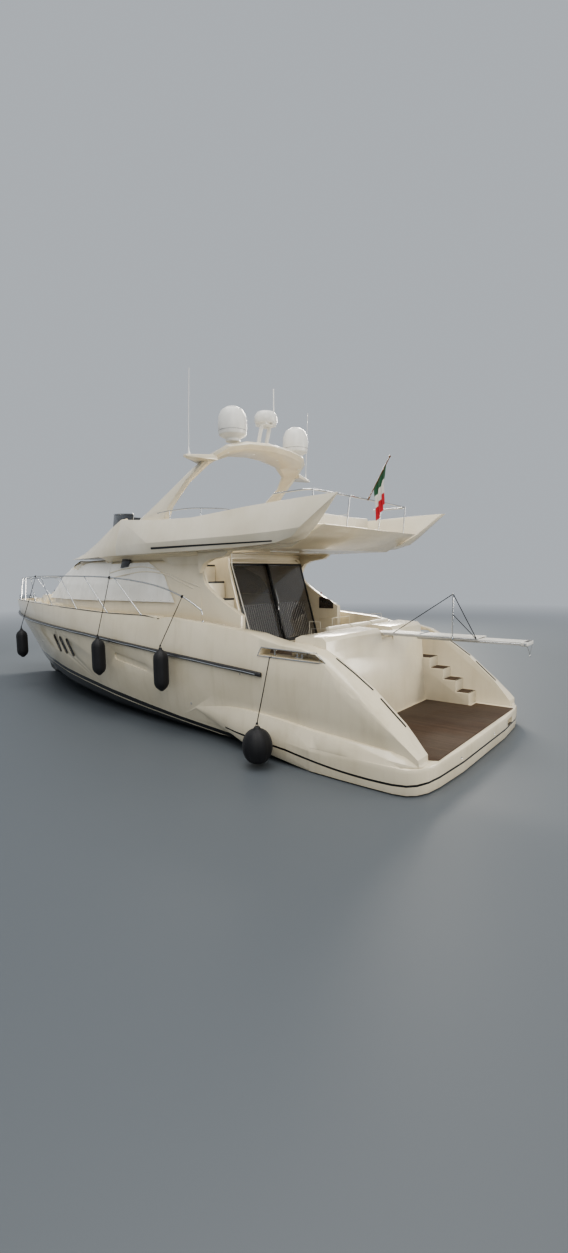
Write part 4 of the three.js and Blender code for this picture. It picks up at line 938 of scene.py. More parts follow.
# Slim pole beside the door, stair edges, niche panel, locker and lamps in the cockpit.
pole = {"line": ((5.17, 0.93, 3.66), (5.17, 0.93, 3.40), (4.72, 0.93, 2.10), (4.66, 0.95, 1.98)),
        "bar": 0.013}
parts = [tube(pole["line"], pole["bar"], 4),
         spun([(0.0, 0.0), (0.026, 0.0), (0.026, 0.006), (0.014, 0.012)], pole["line"][0], 18, (0, 0, -1))]
settle(joined(parts), "grabPole", whitePaintFinish, "stainless")
stair = {"x": 4.5, "z": 1.62, "run": 0.28, "rise": 0.36, "steps": 5}
edges = []
for step in range(stair["steps"]):
    x, z = stair["x"] + stair["run"] * step, stair["z"] + stair["rise"] * (step + 1)
    edges.append(corner((x - 0.005, 1.0, z - 0.032), (x + 0.05, 1.62, z + 0.005), 0.004))
    edges.append(corner((x + 0.07, 1.03, z - 0.002), (x + 0.24, 1.59, z + 0.004), 0.002))
settle(joined(edges), "stairEdges", trimFinish, "rub_rail")


def flatPlate(outline, y, thick, width=0.006, inward=1):
    # A plate lying in a plane of constant y, outline given as x, z.
    obj = added(bpy.ops.mesh.primitive_circle_add, vertices=len(outline), radius=1, fill_type="NGON")
    for vert, (x, z) in zip(obj.data.vertices, outline):
        vert.co = (x, y, z)
    editAll(obj)
    bpy.ops.mesh.extrude_region_move(TRANSFORM_OT_translate={"value": (0, inward * thick, 0)})
    bpy.ops.mesh.select_all(action="SELECT")
    bpy.ops.mesh.normals_make_consistent(inside=False)
    bpy.ops.object.mode_set(mode="OBJECT")
    roundEdges(obj, width, 2, 30)
    return obj


niche = {"panel": ((4.27, 2.35), (4.68, 2.35), (4.68, 2.62), (4.58, 2.63), (4.40, 2.58), (4.27, 2.50)),
         "dials": ((4.38, 2.46, 0.03), (4.48, 2.5, 0.03), (4.58, 2.53, 0.03), (4.6, 2.42, 0.018),
                   (4.52, 2.41, 0.018), (4.44, 2.4, 0.018)), "dialY": -1.632, "wall": -1.648,
         "knob": [(0.0, 0.02), (0.024, 0.018), (0.026, 0.012), (0.018, 0.004), (0.018, -0.004)],
         "locker": ((4.22, 1.66), (4.66, 1.66), (4.66, 2.1), (4.22, 2.1)),
         "latch": [(0.0, 0.006), (0.018, 0.005), (0.02, 0.0), (0.02, -0.004)]}
settle(flatPlate(niche["panel"], niche["wall"], 0.016), "nichePanel", panelFinish, "window")
dials = []
for x, z, size in niche["dials"]:
    dial = [(0.0, 0.0), (size * 0.8, 0.0), (size * 0.86, 0.004), (size, 0.004), (size, -0.006)]
    dials.append(spun(dial, (x, niche["dialY"], z), 20, (0, 1, 0)))
settle(joined(dials), "nicheDials", steelFinish, "stainless")
settle(spun(niche["knob"], (4.62, -1.645, 2.72), 20, (0, 1, 0)), "redSwitch", redFinish, "rub_rail")
settle(flatPlate(niche["locker"], niche["wall"], 0.012, 0.01), "nicheLocker", mouldingFinish, "gelcoat")
settle(spun(niche["latch"], (4.3, -1.636, 1.88), 18, (0, 1, 0)), "lockerLatch", steelFinish, "stainless")
lamp = [corner((3.86, 0.25, 3.64), (3.92, 1.14, 3.657), 0.006, 3)]
for y in (-1.3, -0.45):
    lamp.append(spun([(0.0, 0.008), (0.035, 0.006), (0.045, 0.0), (0.045, -0.006)],
                     (3.9, y, 3.659), 22, (0, 0, -1)))
settle(joined(lamp), "soffitLamps", lampFinish, "dome")

# Cabin side: moulded eyebrow arcs, a black glass corner and the glass behind the covers.
cabinSide = {1: nodes["side_cover_port"], -1: nodes["side_cover_stbd"]}


def cabinSkin(x, z, side):
    # The outer skin of the cabin or its cover at one station.
    skins = (shells["deckhouseShell"], cabinSide[side], nodes["windscreen_cover"])
    return outermost([flankRay(skin, x, z, side) for skin in skins], side)


arcs = (((8.6, 3.29), (8.05, 3.37), (7.3, 3.41), (6.6, 3.31), (5.9, 3.12), (5.3, 2.96)),
        ((8.6, 3.15), (7.9, 3.24), (7.2, 3.3), (6.5, 3.24), (5.9, 3.06), (5.5, 2.93)))
pieces = []
for side in (1, -1):
    for arc in arcs:
        found = [cabinSkin(point.x, point.z, side) for point in smoothPath([(x, 0, z) for x, z in arc], 5)]
        pieces.append(tube([place + normal * 0.002 for _, place, normal in filter(None, found)], 0.013, 3))
settle(joined(pieces), "eyebrowArcs", wingFinish, "gelcoat")
# The bare corner of glass that shows between two covers.
glassCorner = {"outline": ((7.85, 3.43), (8.15, 3.40), (8.12, 3.628), (7.8, 3.585)), "y": 1.652,
               "thick": 0.02, "lean": 0.22}
pieces = []
for side in (1, -1):
    plate = flatPlate(glassCorner["outline"], side * glassCorner["y"], glassCorner["thick"], 0.005, side)
    for vert in plate.data.vertices:
        vert.co.y -= side * glassCorner["lean"] * (vert.co.z - glassCorner["outline"][1][1])
    pieces.append(plate)
settle(joined(pieces), "glassCorners", darkGlassFinish, "window")

# A cove where the cabin side runs up into the underside of the wings.
cove = {"from": 5.3, "to": 8.9, "step": 0.12, "low": (1.668, 3.43), "high": (1.602, 3.545),
        "turn": (6.3, 6.65), "back": 1.5, "curve": ((1.658, 3.602), (1.73, 3.642), (1.83, 3.668)),
        "roof": 3.69, "narrows": 0.045, "straight": 7.0}


def coveRing(x, side):
    # One cross-section of the cove, its lower edge higher where a cover lies below it.
    share = min(max((x - cove["turn"][0]) / (cove["turn"][1] - cove["turn"][0]), 0), 1)
    edge = Vector(cove["low"]).lerp(Vector(cove["high"]), share)
    ring = [tuple(edge), *cove["curve"], (cove["curve"][-1][0], cove["roof"]), (cove["back"], cove["roof"]),
            (cove["back"], edge.y)]
    inset = cove["narrows"] * max(x - cove["straight"], 0)
    return [(x, side * (y - inset), z) for y, z in ring]


stations = [cove["from"] + cove["step"] * i
            for i in range(round((cove["to"] - cove["from"]) / cove["step"]) + 1)]
pieces = [lofted([coveRing(x, side) for x in stations]) for side in (1, -1)]
settle(joined(pieces), "wingCoves", mouldingFinish, "gelcoat", smooth=50)
for title, node in (("windowPort", "side_window_port"), ("windowStarboard", "side_window_stbd"),
                    ("windscreenPane", "windscreen")):
    refined(title, node, darkGlassFinish, "window", 0.002)
print("cabin fitted")


# Bow rails of round steel tube with raked posts on flanges.
rail = {"top": ((4.82, 2.17, 2.52), (5.35, 2.19, 2.78), (6.3, 2.19, 3.02), (7.9, 2.15, 3.18),
                (10.0, 2.01, 3.23), (11.8, 1.72, 3.24), (13.4, 1.3, 3.23), (15.0, 0.72, 3.21),
                (16.0, 0.29, 3.19), (16.35, 0.012, 3.18)),
        "posts": ((6.66, 7.68), (7.99, 9.09), (9.44, 10.34), (10.9, 11.95), (12.25, 13.2), (13.5, 14.35),
                  (14.65, 15.4), (15.6, 16.05)), "bar": 0.0165, "post": 0.0125, "inboard": 0.07,
        "end": (4.79, 2.165, 2.43),
        "flange": [(0.0, 0.0), (0.034, 0.0), (0.034, 0.006), (0.018, 0.011), (0.014, 0.03)],
        "endFlange": [(0.0, 0.0), (0.036, 0.0), (0.036, 0.006), (0.02, 0.012), (0.017, 0.03)]}
railLines = {}
for side, title, node in ((1, "Port", "bow_rail_port"), (-1, "Starboard", "bow_rail_stbd")):
    line = smoothPath([(x, side * y, z) for x, y, z in rail["top"]], 9)
    railLines[side] = line
    endX, endY, endZ = rail["end"]
    parts = [tube([(endX, side * endY, endZ), *line], rail["bar"], 4)]
    for foot, head in rail["posts"]:
        seat, _ = bulwarkTop(foot, side, rail["inboard"])
        high = min(line, key=lambda point: abs(point.x - head))
        parts.append(tube([seat, high], rail["post"], 3))
        parts.append(spun(rail["flange"], seat - Vector((0, 0, 0.002)), 16))
    parts.append(spun(rail["endFlange"], onTop(outer, endX, side * endY, 3.4)[0], 16))
    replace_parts(settle(joined(parts), "bowRail" + title, steelFinish, "stainless", smooth=50), node)

# Rail round the aft edge of the flybridge, its corners bent round, with the flagstaff.
aftRail = {"half": ((3.25, 1.79), (2.56, 1.83), (2.44, 1.74), (2.41, 0.61)), "high": 4.62, "bend": 0.09,
           "bar": 0.016, "posts": ((2.44, 1.74), (2.41, 0.61), (2.41, -0.61), (2.44, -1.74)), "post": 0.013}
aft = [*aftRail["half"], *[(x, -y) for x, y in aftRail["half"][::-1]]]
corners = [Vector((x, y, aftRail["high"])) for x, y in aft]
rounded = [corners[0]]
for before, knot, after in zip(corners, corners[1:], corners[2:]):
    near = min(aftRail["bend"], (before - knot).length * 0.45, (after - knot).length * 0.45)
    a, b = knot + (before - knot).normalized() * near, knot + (after - knot).normalized() * near
    rounded += [a.lerp(knot, t).lerp(knot.lerp(b, t), t) for t in (0, 0.25, 0.5, 0.75, 1)]
rounded.append(corners[-1])
parts = [tube(rounded, aftRail["bar"], 4)]
for x, y in aftRail["posts"]:
    parts.append(tube([(2.48, y, 4.052), (x, y, aftRail["high"] + 0.002)], aftRail["post"], 4))
    parts.append(spun(rail["flange"], (2.481, y, 4.046), 16, (-0.1, 0, 1)))
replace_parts(settle(joined(parts), "flyRail", steelFinish, "stainless", smooth=50), "fly_rail")
staff = {"low": (2.406, -0.05, 4.6), "high": (1.93, -0.05, 5.38), "bar": 0.0105,
         "knob": [(0.0, 0.0), (0.012, 0.0), (0.021, 0.014), (0.016, 0.03), (0.0, 0.036)],
         "collar": [(0.011, 0.0), (0.017, 0.002), (0.017, 0.045), (0.011, 0.047)]}
low, high = Vector(staff["low"]), Vector(staff["high"])
run = (high - low).normalized()
parts = [tube([low, low.lerp(high, 0.5), high - run * 0.02], staff["bar"], 4),
         spun(staff["knob"], high - run * 0.03, 20, run), spun(staff["collar"], low + run * 0.04, 18, run)]
staffPiece = settle(joined(parts), "flagStaff", varnishFinish, "teak", smooth=50)

# The flag hangs limp from its staff in narrowing folds.
flag = {"hoist": (0.30, 0.86), "drop": 0.72, "columns": 26, "rows": 34, "folds": 2.3, "deep": 0.036,
        "red": (0.52, 0.018, 0.03), "white": (0.68, 0.66, 0.62), "green": (0.012, 0.085, 0.035),
        "soil": (0.12, 0.1, 0.1)}
flagFinish, tree, shader, place = newFinish("tricolour", (0.7, 0.7, 0.7), 0.8, Sheen_Weight=0.25)
spread = put(tree, "ShaderNodeUVMap")
along = put(tree, "ShaderNodeSeparateXYZ", {0: spread.outputs[0]}).outputs[1]
bands = mixColours(tree, sums(tree, "GREATER_THAN", along, 1 / 3), flag["red"], flag["white"])
bands = mixColours(tree, sums(tree, "GREATER_THAN", along, 2 / 3), bands, flag["green"])
worn = sums(tree, "MULTIPLY", placed(tree, streaks, place, Fineness=2.0).outputs[0], 0.3)
tree.links.new(mixColours(tree, worn, bands, flag["soil"]), shader.inputs["Base Color"])
addBump(tree, shader, placed(tree, weave, place, Threads=350.0).outputs[0], 0.15, 0.002)
cloth = added(bpy.ops.mesh.primitive_grid_add, x_subdivisions=flag["columns"], y_subdivisions=flag["rows"],
              size=1)
hoistLow, hoistHigh = low.lerp(high, flag["hoist"][0]), low.lerp(high, flag["hoist"][1])
hoist = (hoistHigh - hoistLow).length
columns, rows = flag["columns"] + 1, flag["rows"] + 1


def flagRow(t, squeeze):
    # One row across the hoist, t from the staff to the fly end, drawn together by squeeze.
    row = []
    middle = hoistLow.lerp(hoistHigh, 0.42)
    rise = min(t * 2.4, 1.0)
    for i in range(columns):
        s = i / (columns - 1)
        offset = (hoistLow.lerp(hoistHigh, s) - middle) * squeeze
        phase = 2 * math.pi * flag["folds"] * s + 0.9 * math.sin(2.2 * t)
        side = flag["deep"] * rise * math.sin(phase) * (1.15 - 0.3 * t)
        lean = 0.02 * math.sin(phase + 1.3) * rise
        fall = flag["drop"] * t * (0.965 + 0.035 * s)
        row.append(middle + offset + Vector((lean - 0.05 * t * (1 - s) + 0.012, side, -fall)))
    return row


# Each row is squeezed until its length along the folds is the hoist's own.
for j in range(rows):
    t = 1 - j / (rows - 1)
    lowGuess, highGuess = 0.05, 1.0
    for _ in range(14):
        guess = (lowGuess + highGuess) / 2
        row = flagRow(t, guess)
        if sum((b - a).length for a, b in zip(row, row[1:])) > hoist:
            highGuess = guess
        else:
            lowGuess = guess
    for i, point in enumerate(flagRow(t, highGuess if t > 0.02 else 1.0)):
        cloth.data.vertices[j * columns + i].co = point
settle(cloth, "flagCloth", flagFinish, "flag_cloth", smooth=80)
useModifier(cloth, "SMOOTH", factor=0.4, iterations=2)
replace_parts(cloth, "flag")
print("rails and flag set")


# Canvas covers: each laid over its CAD cover by rays, then puckered between its fasteners.
canvas = {"thick": 0.003, "pucker": 0.006, "pitch": 0.31, "fold": 0.007, "seam": 0.004, "foot": 2.62,
          "snap": [(0.0, 0.006), (0.006, 0.005), (0.009, 0.0), (0.009, -0.004)]}


def ripple(x, high):
    # Height of the cloth off its base: puckers along the foot and slack folds above.
    foot = canvas["pucker"] * math.exp(-high / 0.16) * math.cos(2 * math.pi * x / canvas["pitch"])
    slack = math.sin(5.2 * x + 3.4 * high + 1.7 * math.sin(2.3 * x)) * math.sin(2.1 * high + 0.9 * x)
    return foot + canvas["fold"] * slack


def laidSheet(columns, rows, spot, name):
    # A grid whose points come from spot(s, t).
    obj = added(bpy.ops.mesh.primitive_grid_add, x_subdivisions=columns, y_subdivisions=rows, size=1)
    for vert in obj.data.vertices:
        vert.co = spot(vert.co.x + 0.5, vert.co.y + 0.5)
    obj.name = name
    return obj


covers = []


def finishSheet(obj, name, flat, nodeName):
    mesh = bmesh.new()
    mesh.from_mesh(obj.data)
    bmesh.ops.remove_doubles(mesh, verts=mesh.verts, dist=0.0006)
    bmesh.ops.recalc_face_normals(mesh, faces=mesh.faces)
    area = sum(face.calc_area() for face in mesh.faces)
    mesh.to_mesh(obj.data)
    mesh.free()
    useModifier(obj, "SOLIDIFY", thickness=canvas["thick"], offset=0)
    settle(obj, name, canvasFinish, "canvas", smooth=60)
    covers.append((obj, nodeName))
    print(name, "cloth area", round(area, 3), "of", round(flat[0] * flat[1], 3))
    return obj


# Side covers, with an aft edge that slopes forward as it rises.
sideCover = {"aft": ((2.625, 6.055), (3.195, 6.455), (3.51, 7.06)), "low": 2.626, "high": 3.508, "fore": 8.65,
             "in": 0.004, "flat": (2.62, 0.98), "grid": (110, 38)}
coverNodes = {1: "side_cover_port", -1: "side_cover_stbd"}


def aftEdge(z):
    # The station of the cover's aft edge at one height.
    for (lowZ, lowX), (highZ, highX) in zip(sideCover["aft"], sideCover["aft"][1:]):
        if z <= highZ:
            return lowX + (highX - lowX) * max(0.0, z - lowZ) / (highZ - lowZ)
    return sideCover["aft"][-1][1]


for side, title in sides.items():
    def sideSpot(s, t):
        z = sideCover["low"] + (sideCover["high"] - sideCover["low"]) * t
        x = aftEdge(z) + sideCover["in"] + (sideCover["fore"] - aftEdge(z) - sideCover["in"]) * s
        hit, place, normal = flankRay(nodes[coverNodes[side]], x, z, side)
        if not hit:
            place, normal = Vector((x, side * 1.75, z)), Vector((0, side, 0))
        return place + normal * (ripple(x, z - canvas["foot"]) - 0.006)

    name = "sideCover" + title
    finishSheet(laidSheet(*sideCover["grid"], sideSpot, name), name, sideCover["flat"], coverNodes[side])

hoop = {"from": 8.665, "hole": 10.9, "to": 12.695, "z": 2.615, "edge": math.radians(34.4)}


def hoopSpot(x, angle):
    # A point of the windscreen cover at a station and an angle round the cabin.
    away = Vector((0, math.cos(angle), math.sin(angle)))
    hit, place, normal, _ = nodes["windscreen_cover"].ray_cast(Vector((x, 0, hoop["z"])) + away * 4, -away)
    if not hit:
        place, normal = Vector((x, 1.4 * away.y, hoop["z"] + 0.9 * away.z)), away
    return place + normal * (ripple(x + 0.7 * angle, place.z - 2.6) * 0.85 - 0.006)


def hoopStrip(columns, rows, stations, angles, name):
    # A strip of the windscreen cover between two stations and two angles.
    def spot(s, t):
        return hoopSpot(stations[0] + (stations[1] - stations[0]) * s,
                        angles[0] + (angles[1] - angles[0]) * t)

    return laidSheet(columns, rows, spot, name)


edge = hoop["edge"]
aftward, forward = (hoop["from"], hoop["hole"]), (hoop["hole"], hoop["to"])
strips = [hoopStrip(56, 22, aftward, (0, edge), "hoopPort"),
          hoopStrip(56, 22, aftward, (math.pi, math.pi - edge), "hoopStarboard"),
          hoopStrip(46, 22, forward, (0, edge), "hoopForePort"),
          hoopStrip(46, 22, forward, (math.pi, math.pi - edge), "hoopForeStarboard"),
          hoopStrip(46, 60, forward, (edge, math.pi - edge), "hoopFore")]
finishSheet(joined(strips), "windscreenCover", (4.35, 5.2), "windscreen_cover")

# Hems, seams and snap fasteners of the covers.
hems = (((6.07, 2.64), (6.46, 3.2), (7.07, 3.5)), ((6.07, 2.64), (7.3, 2.645), (8.64, 2.645)),
        ((7.72, 2.64), (7.72, 3.1), (7.74, 3.5)))
snapRow = {"from": 6.2, "pitch": 0.3, "count": 9, "z": 2.665}
seams, snaps = [], []
for side in (1, -1):
    cover = nodes[coverNodes[side]]
    for line in hems:
        points = []
        for point in smoothPath([(x, 0, z) for x, z in line], 10):
            hit, place, normal = flankRay(cover, point.x, point.z, side)
            if hit:
                points.append(place + normal * (ripple(place.x, place.z - canvas["foot"]) - 0.004))
        seams.append(tube(points, canvas["seam"], 2))
    for i in range(snapRow["count"]):
        hit, place, normal = flankRay(cover, snapRow["from"] + snapRow["pitch"] * i, snapRow["z"], side)
        if hit:
            snaps.append(spun(canvas["snap"], place + normal * (ripple(place.x, 0.045) - 0.005), 12, normal))
    angles = [edge * i / 24 for i in range(25)]
    seams.append(tube([hoopSpot(10.05, a if side > 0 else math.pi - a) for a in angles], canvas["seam"], 2))
for x in (11.1, 11.95, 12.5):
    seams.append(tube([hoopSpot(x, math.pi * i / 90) for i in range(91)], canvas["seam"], 2))
settle(joined(seams), "coverSeams", canvasFinish, "canvas")
settle(joined(snaps), "coverSnaps", steelFinish, "stainless")
for cover, nodeName in covers:
    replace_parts(cover, nodeName)
print("covers laid")

# Fenders in black socks, each on a lanyard with an eye and a knot at its lower end.
sockFinish = clothFinish("blackSock", (0.011, 0.011, 0.013), (0.03, 0.03, 0.034), 330.0, 0.5, 0.6, 0.05, 0.45)


def gored(obj, centre, gores, deep):
    # Pinches a spun form along its gore seams.
    for vert in obj.data.vertices:
        dx, dy = vert.co.x - centre.x, vert.co.y - centre.y
        pinch = 1 - deep * (1 - abs(math.sin(gores * math.atan2(dy, dx) / 2))) ** 4
        vert.co.x, vert.co.y = centre.x + dx * pinch, centre.y + dy * pinch


def hitch(x, side):
    # Three turns of rope round the rail.
    wind = {"turns": 3, "steps": 8, "radius": 0.0235, "creep": 0.013, "back": 0.02}
    spot = min(railLines[side], key=lambda point: abs(point.x - x)) - Vector((wind["back"], 0, 0))
    rope = []
    for i in range(wind["turns"] * wind["steps"] + 1):
        turn = 2 * math.pi * i / wind["steps"]
        rope.append(spot + Vector((wind["creep"] * i / 8, wind["radius"] * math.sin(turn),
                                   wind["radius"] * math.cos(turn))))
    return rope


def hangFender(nodeName, centre, sock, look, rope):
    # A gored sock, and a lanyard with its eye and knot on top of it.
    body = spun(sock, centre, look["sides"])
    gored(body, centre, 8, look["gore"])
    name = nodeName.replace("_", "")
    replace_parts(settle(body, name + "Sock", sockFinish, "fender", smooth=60), nodeName)
    eye = centre + Vector((0, 0, look["eyeHigh"]))
    angles = [2 * math.pi * i / 14 for i in range(14)]
    ring = [eye + Vector((look["eye"] * math.cos(a), 0, look["eye"] * math.sin(a))) for a in angles]
    knot = spun(look["knot"], eye + Vector((0, 0, look["knotUp"])), 12)
    lanyard = tube(rope(eye), look["rope"], 3)
    settle(joined([tube(ring, look["eyeBar"], 2, closed=True), knot, lanyard]), name + "Lanyard", ropeFinish,
           "fender", smooth=60)


# Centre, radius, half length and the station on the rail where the lanyard is tied.
tubes = {"fender_port_1": (5.56, 2.615, 1.33, 0.15, 0.42, 5.33),
         "fender_port_2": (7.89, 2.53, 1.39, 0.15, 0.42, 7.89),
         "fender_port_3": (12.6, 2.03, 1.32, 0.15, 0.40, 12.6),
         "fender_stbd_1": (11.0, -2.24, 1.32, 0.15, 0.40, 11.0)}
tubeLook = {"sides": 32, "gore": 0.05, "eye": 0.021, "eyeBar": 0.006, "knotUp": 0.012, "rope": 0.0075,
            "knot": [(0.0, 0.0), (0.014, 0.004), (0.019, 0.016), (0.014, 0.03), (0.0, 0.034)]}
for nodeName, (x, y, z, radius, half, hang) in tubes.items():
    profile = [(0.0, -half), (0.03, -half), (0.045, -half + 0.012), (0.07, -half + 0.035),
               (0.115, -half + 0.075),
               (radius - 0.008, -half + 0.13), (radius, -half + 0.19), (radius, -0.06), (radius, 0.06),
               (radius, half - 0.19),
               (radius - 0.008, half - 0.13), (0.115, half - 0.075), (0.07, half - 0.035),
               (0.045, half - 0.012), (0.034, half + 0.006), (0.03, half + 0.03), (0.0, half + 0.034)]

    def tubeRope(eye):
        start, wound = eye + Vector((0, 0, 0.03)), hitch(hang, 1 if y > 0 else -1)
        return [*[start.lerp(wound[0], i / 4) for i in range(4)], *wound]

    hangFender(nodeName, Vector((x, y, z)), profile, {**tubeLook, "eyeHigh": half + 0.045}, tubeRope)

ball = {"place": (2.84, 2.83, 0.36), "radius": 0.255, "half": 0.3, "rope": (2.84, 2.48, 1.80)}
ballLook = {"sides": 40, "gore": 0.07, "eye": 0.024, "eyeBar": 0.007, "knotUp": 0.014, "rope": 0.0085,
            "eyeHigh": ball["half"] + 0.05, "knot": [(0.0, 0.0), (0.016, 0.004), (0.022, 0.018),
                                                     (0.016, 0.034), (0.0, 0.038)]}
for side, nodeName in ((1, "ball_port"), (-1, "ball_stbd")):
    radius, half = ball["radius"], ball["half"]
    angles = [math.pi * i / 16 for i in range(1, 16)]
    profile = [(0.0, -half), *[(radius * math.sin(a) ** 0.86, -half * math.cos(a)) for a in angles],
               (0.06, half + 0.005), (0.045, half + 0.03), (0.0, half + 0.036)]

    def ballRope(eye):
        top = Vector((ball["rope"][0], side * ball["rope"][1], ball["rope"][2]))
        return [eye + Vector((0, 0, 0.034)), eye.lerp(top, 0.5), top, top + Vector((0, -side * 0.05, 0.006))]

    x, y, z = ball["place"]
    hangFender(nodeName, Vector((x, side * y, z)), profile, ballLook, ballRope)
print("fenders hung")

# Cushions: smaller boxes swollen as cloth under pressure, then piped along their edges.
pads = {"shrink": 0.014, "voxel": 0.0208, "cap": 0.022, "pressure": 4.0, "frames": 20, "piping": 0.0055,
        "inset": 0.03, "over": 0.006, "gap": 0.012}


def swollen(boxes, name, nodeName):
    # boxes: (low, high) of every pad in this set.
    inset = Vector((pads["shrink"],) * 3)
    pad = joined([corner(Vector(low) + inset, Vector(high) - inset, 0.025, 3) for low, high in boxes])
    bake(pad)
    useModifier(pad, "REMESH", mode="VOXEL", voxel_size=pads["voxel"])
    start = [vert.co.copy() for vert in pad.data.vertices]
    pick(pad)
    mod = pad.modifiers.new("cloth", "CLOTH")
    mod.settings.use_pressure = True
    mod.settings.uniform_pressure_force = pads["pressure"]
    mod.settings.effector_weights.gravity = 0
    mod.point_cache.frame_end = pads["frames"]
    for frame in range(1, pads["frames"] + 1):
        bpy.context.scene.frame_set(frame)
    bpy.ops.object.modifier_apply(modifier=mod.name)
    for vert, before in zip(pad.data.vertices, start):
        move = vert.co - before
        if move.length > pads["cap"]:
            vert.co = before + move.normalized() * pads["cap"]
    bpy.context.scene.frame_set(1)
    low = Vector([min(box[0][i] for box in boxes) for i in range(3)])
    high = Vector([max(box[1][i] for box in boxes) for i in range(3)])
    for vert in pad.data.vertices:
        for i in range(3):
            vert.co[i] = min(max(vert.co[i], low[i]), high[i] + pads["over"])
    useModifier(pad, "SUBSURF", levels=1, render_levels=1)
    settle(pad, name, vinylFinish, "cushion", smooth=80)
    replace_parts(pad, nodeName)
    settle(joined([piping(pad, *box) for box in boxes]), name + "Piping", vinylFinish, "cushion", smooth=60)


def piping(pad, low, high):
    # A cord round the broad face of one pad: across the axis along which the pad is thinnest.
    thin = min((2, 0, 1), key=lambda axis: high[axis] - low[axis])
    first, second = (axis for axis in range(3) if axis != thin)
    d = pads["inset"]
    ring = roundedRing((low[first] + d, low[second] + d), (high[first] - d, high[second] - d), 0.05
                       if thin == 2 else 0.04)
    points = []
    for a, b in ring:
        start, down = Vector(), Vector()
        start[first], start[second], start[thin], down[thin] = a, b, high[thin] + 0.3, -1
        points.append(onSurface(pad, start, down)[0])
    return tube(points, pads["piping"], 2, closed=True)


def roundedRing(low, high, radius):
    # Points round a rectangle with rounded corners, in two dimensions.
    ring = []
    for cx, cy, start in ((high[0] - radius, high[1] - radius, 0), (low[0] + radius, high[1] - radius, 90),
                          (low[0] + radius, low[1] + radius, 180), (high[0] - radius, low[1] + radius, 270)):
        for i in range(4):
            a = math.radians(start + 30 * i)
            ring.append((cx + radius * math.cos(a), cy + radius * math.sin(a)))
    dense = []
    for (ax, ay), (bx, by) in zip(ring, ring[1:] + ring[:1]):
        count = max(1, int(math.hypot(bx - ax, by - ay) / 0.06))
        dense += [(ax + (bx - ax) * i / count, ay + (by - ay) * i / count) for i in range(count)]
    return dense


def row(low, high, axis, count):
    # Splits one long pad into several along an axis.
    boxes, gap = [], pads["gap"]
    span = (high[axis] - low[axis]) / count
    for i in range(count):
        a, b = list(low), list(high)
        a[axis], b[axis] = low[axis] + span * i + gap / 2, low[axis] + span * (i + 1) - gap / 2
        boxes.append((tuple(a), tuple(b)))
    return boxes


bases = (((2.704, -1.598, 1.541), (3.235, 0.898, 1.84), 0.02),
         ((3.302, -1.698, 3.781), (6.098, -1.152, 4.07), 0.02),
         ((3.302, -1.16, 3.781), (3.848, 0.798, 4.07), 0.02),
         ((7.28, -1.12, 3.781), (7.72, -0.18, 4.06), 0.03))
settle(joined([corner(*base, 3) for base in bases]), "seatBases", mouldingFinish, "gelcoat")
# Each set's pads: low corner, high corner, the axis along which they stand in a row and how many.
sets = {"cockpitCushions": ("cockpit_sofa", ((2.84, -1.6, 1.838), (3.25, 0.9, 1.972), 1, 3),
                            ((2.705, -1.6, 1.845), (2.832, 0.9, 2.2), 1, 3)),
        "flyCushions": ("fly_sofa", ((3.43, -1.57, 4.068), (6.1, -1.15, 4.2), 0, 4),
                        ((3.43, -1.138, 4.068), (3.85, 0.8, 4.2), 1, 3),
                        ((3.43, -1.7, 4.075), (6.1, -1.582, 4.45), 0, 4),
                        ((3.3, -1.7, 4.075), (3.42, 0.8, 4.45), 1, 4))}
for name, (nodeName, *rows) in sets.items():
    swollen([box for pad in rows for box in row(*pad)], name, nodeName)
swollen([((7.3, -1.14, 4.06), (7.74, -0.16, 4.2)), ((7.185, -1.14, 4.065), (7.292, -0.16, 4.6))],
        "helmCushions", "helm_seat")
print("cushions filled")


# Small fittings of the flybridge, the arch and the overhang.
settle(corner((5.262, -1.63, 3.6), (5.34, 0.94, 3.6585), 0.01, 3), "soffitTrim", mouldingFinish, "gelcoat")

# Dark rubbing strips under the crease of each wing, wider at the fore end.
wingStrip = {"from": 2.98, "long": 3.48, "z": 3.762, "rise": 0.006, "half": 0.011, "grows": 0.012,
             "thick": 0.006, "steps": 28}
pieces = []
for side, title in sides.items():
    places, widths, outs = [], [], []
    for i in range(wingStrip["steps"] + 1):
        share = i / wingStrip["steps"]
        x = wingStrip["from"] + wingStrip["long"] * share
        place, normal = onFlank(shells["wing" + title], x, wingStrip["z"] + wingStrip["rise"] * (x - 3), side)
        up = Vector((0, 0, wingStrip["half"] + wingStrip["grows"] * share))
        places.append(place)
        widths.append(up - normal * up.dot(normal))
        outs.append(normal)
    pieces.append(band(places, widths, outs, wingStrip["thick"]))
settle(joined(pieces), "wingStrips", trimFinish, "rub_rail")

# Low grab rails on the wings, forward of the arch foot and aft of it.
wingRail = {"line": ((4.1, 1.99, 4.385), (4.4, 1.975, 4.445), (5.0, 1.945, 4.51), (5.42, 1.92, 4.54),
                     (6.04, 1.86, 4.55), (6.5, 1.81, 4.54)), "bar": 0.011, "posts": (2, 4), "post": 0.009,
            "flange": [(0.0, 0.0), (0.024, 0.0), (0.024, 0.005), (0.013, 0.01), (0.011, 0.016)]}
pieces = []
for side, title in sides.items():
    line = [Vector((x, side * y, z)) for x, y, z in wingRail["line"]]
    pieces.append(tube(smoothPath(line, 5), wingRail["bar"], 3))
    for spot in (line[i] for i in wingRail["posts"]):
        place, _ = onTop(shells["wing" + title], spot.x, spot.y, 5.2)
        pieces.append(tube([place - Vector((0, 0, 0.004)), spot], wingRail["post"], 3))
        pieces.append(spun(wingRail["flange"], place - Vector((0, 0, 0.002)), 14))
settle(joined(pieces), "wingRails", steelFinish, "stainless", smooth=50)

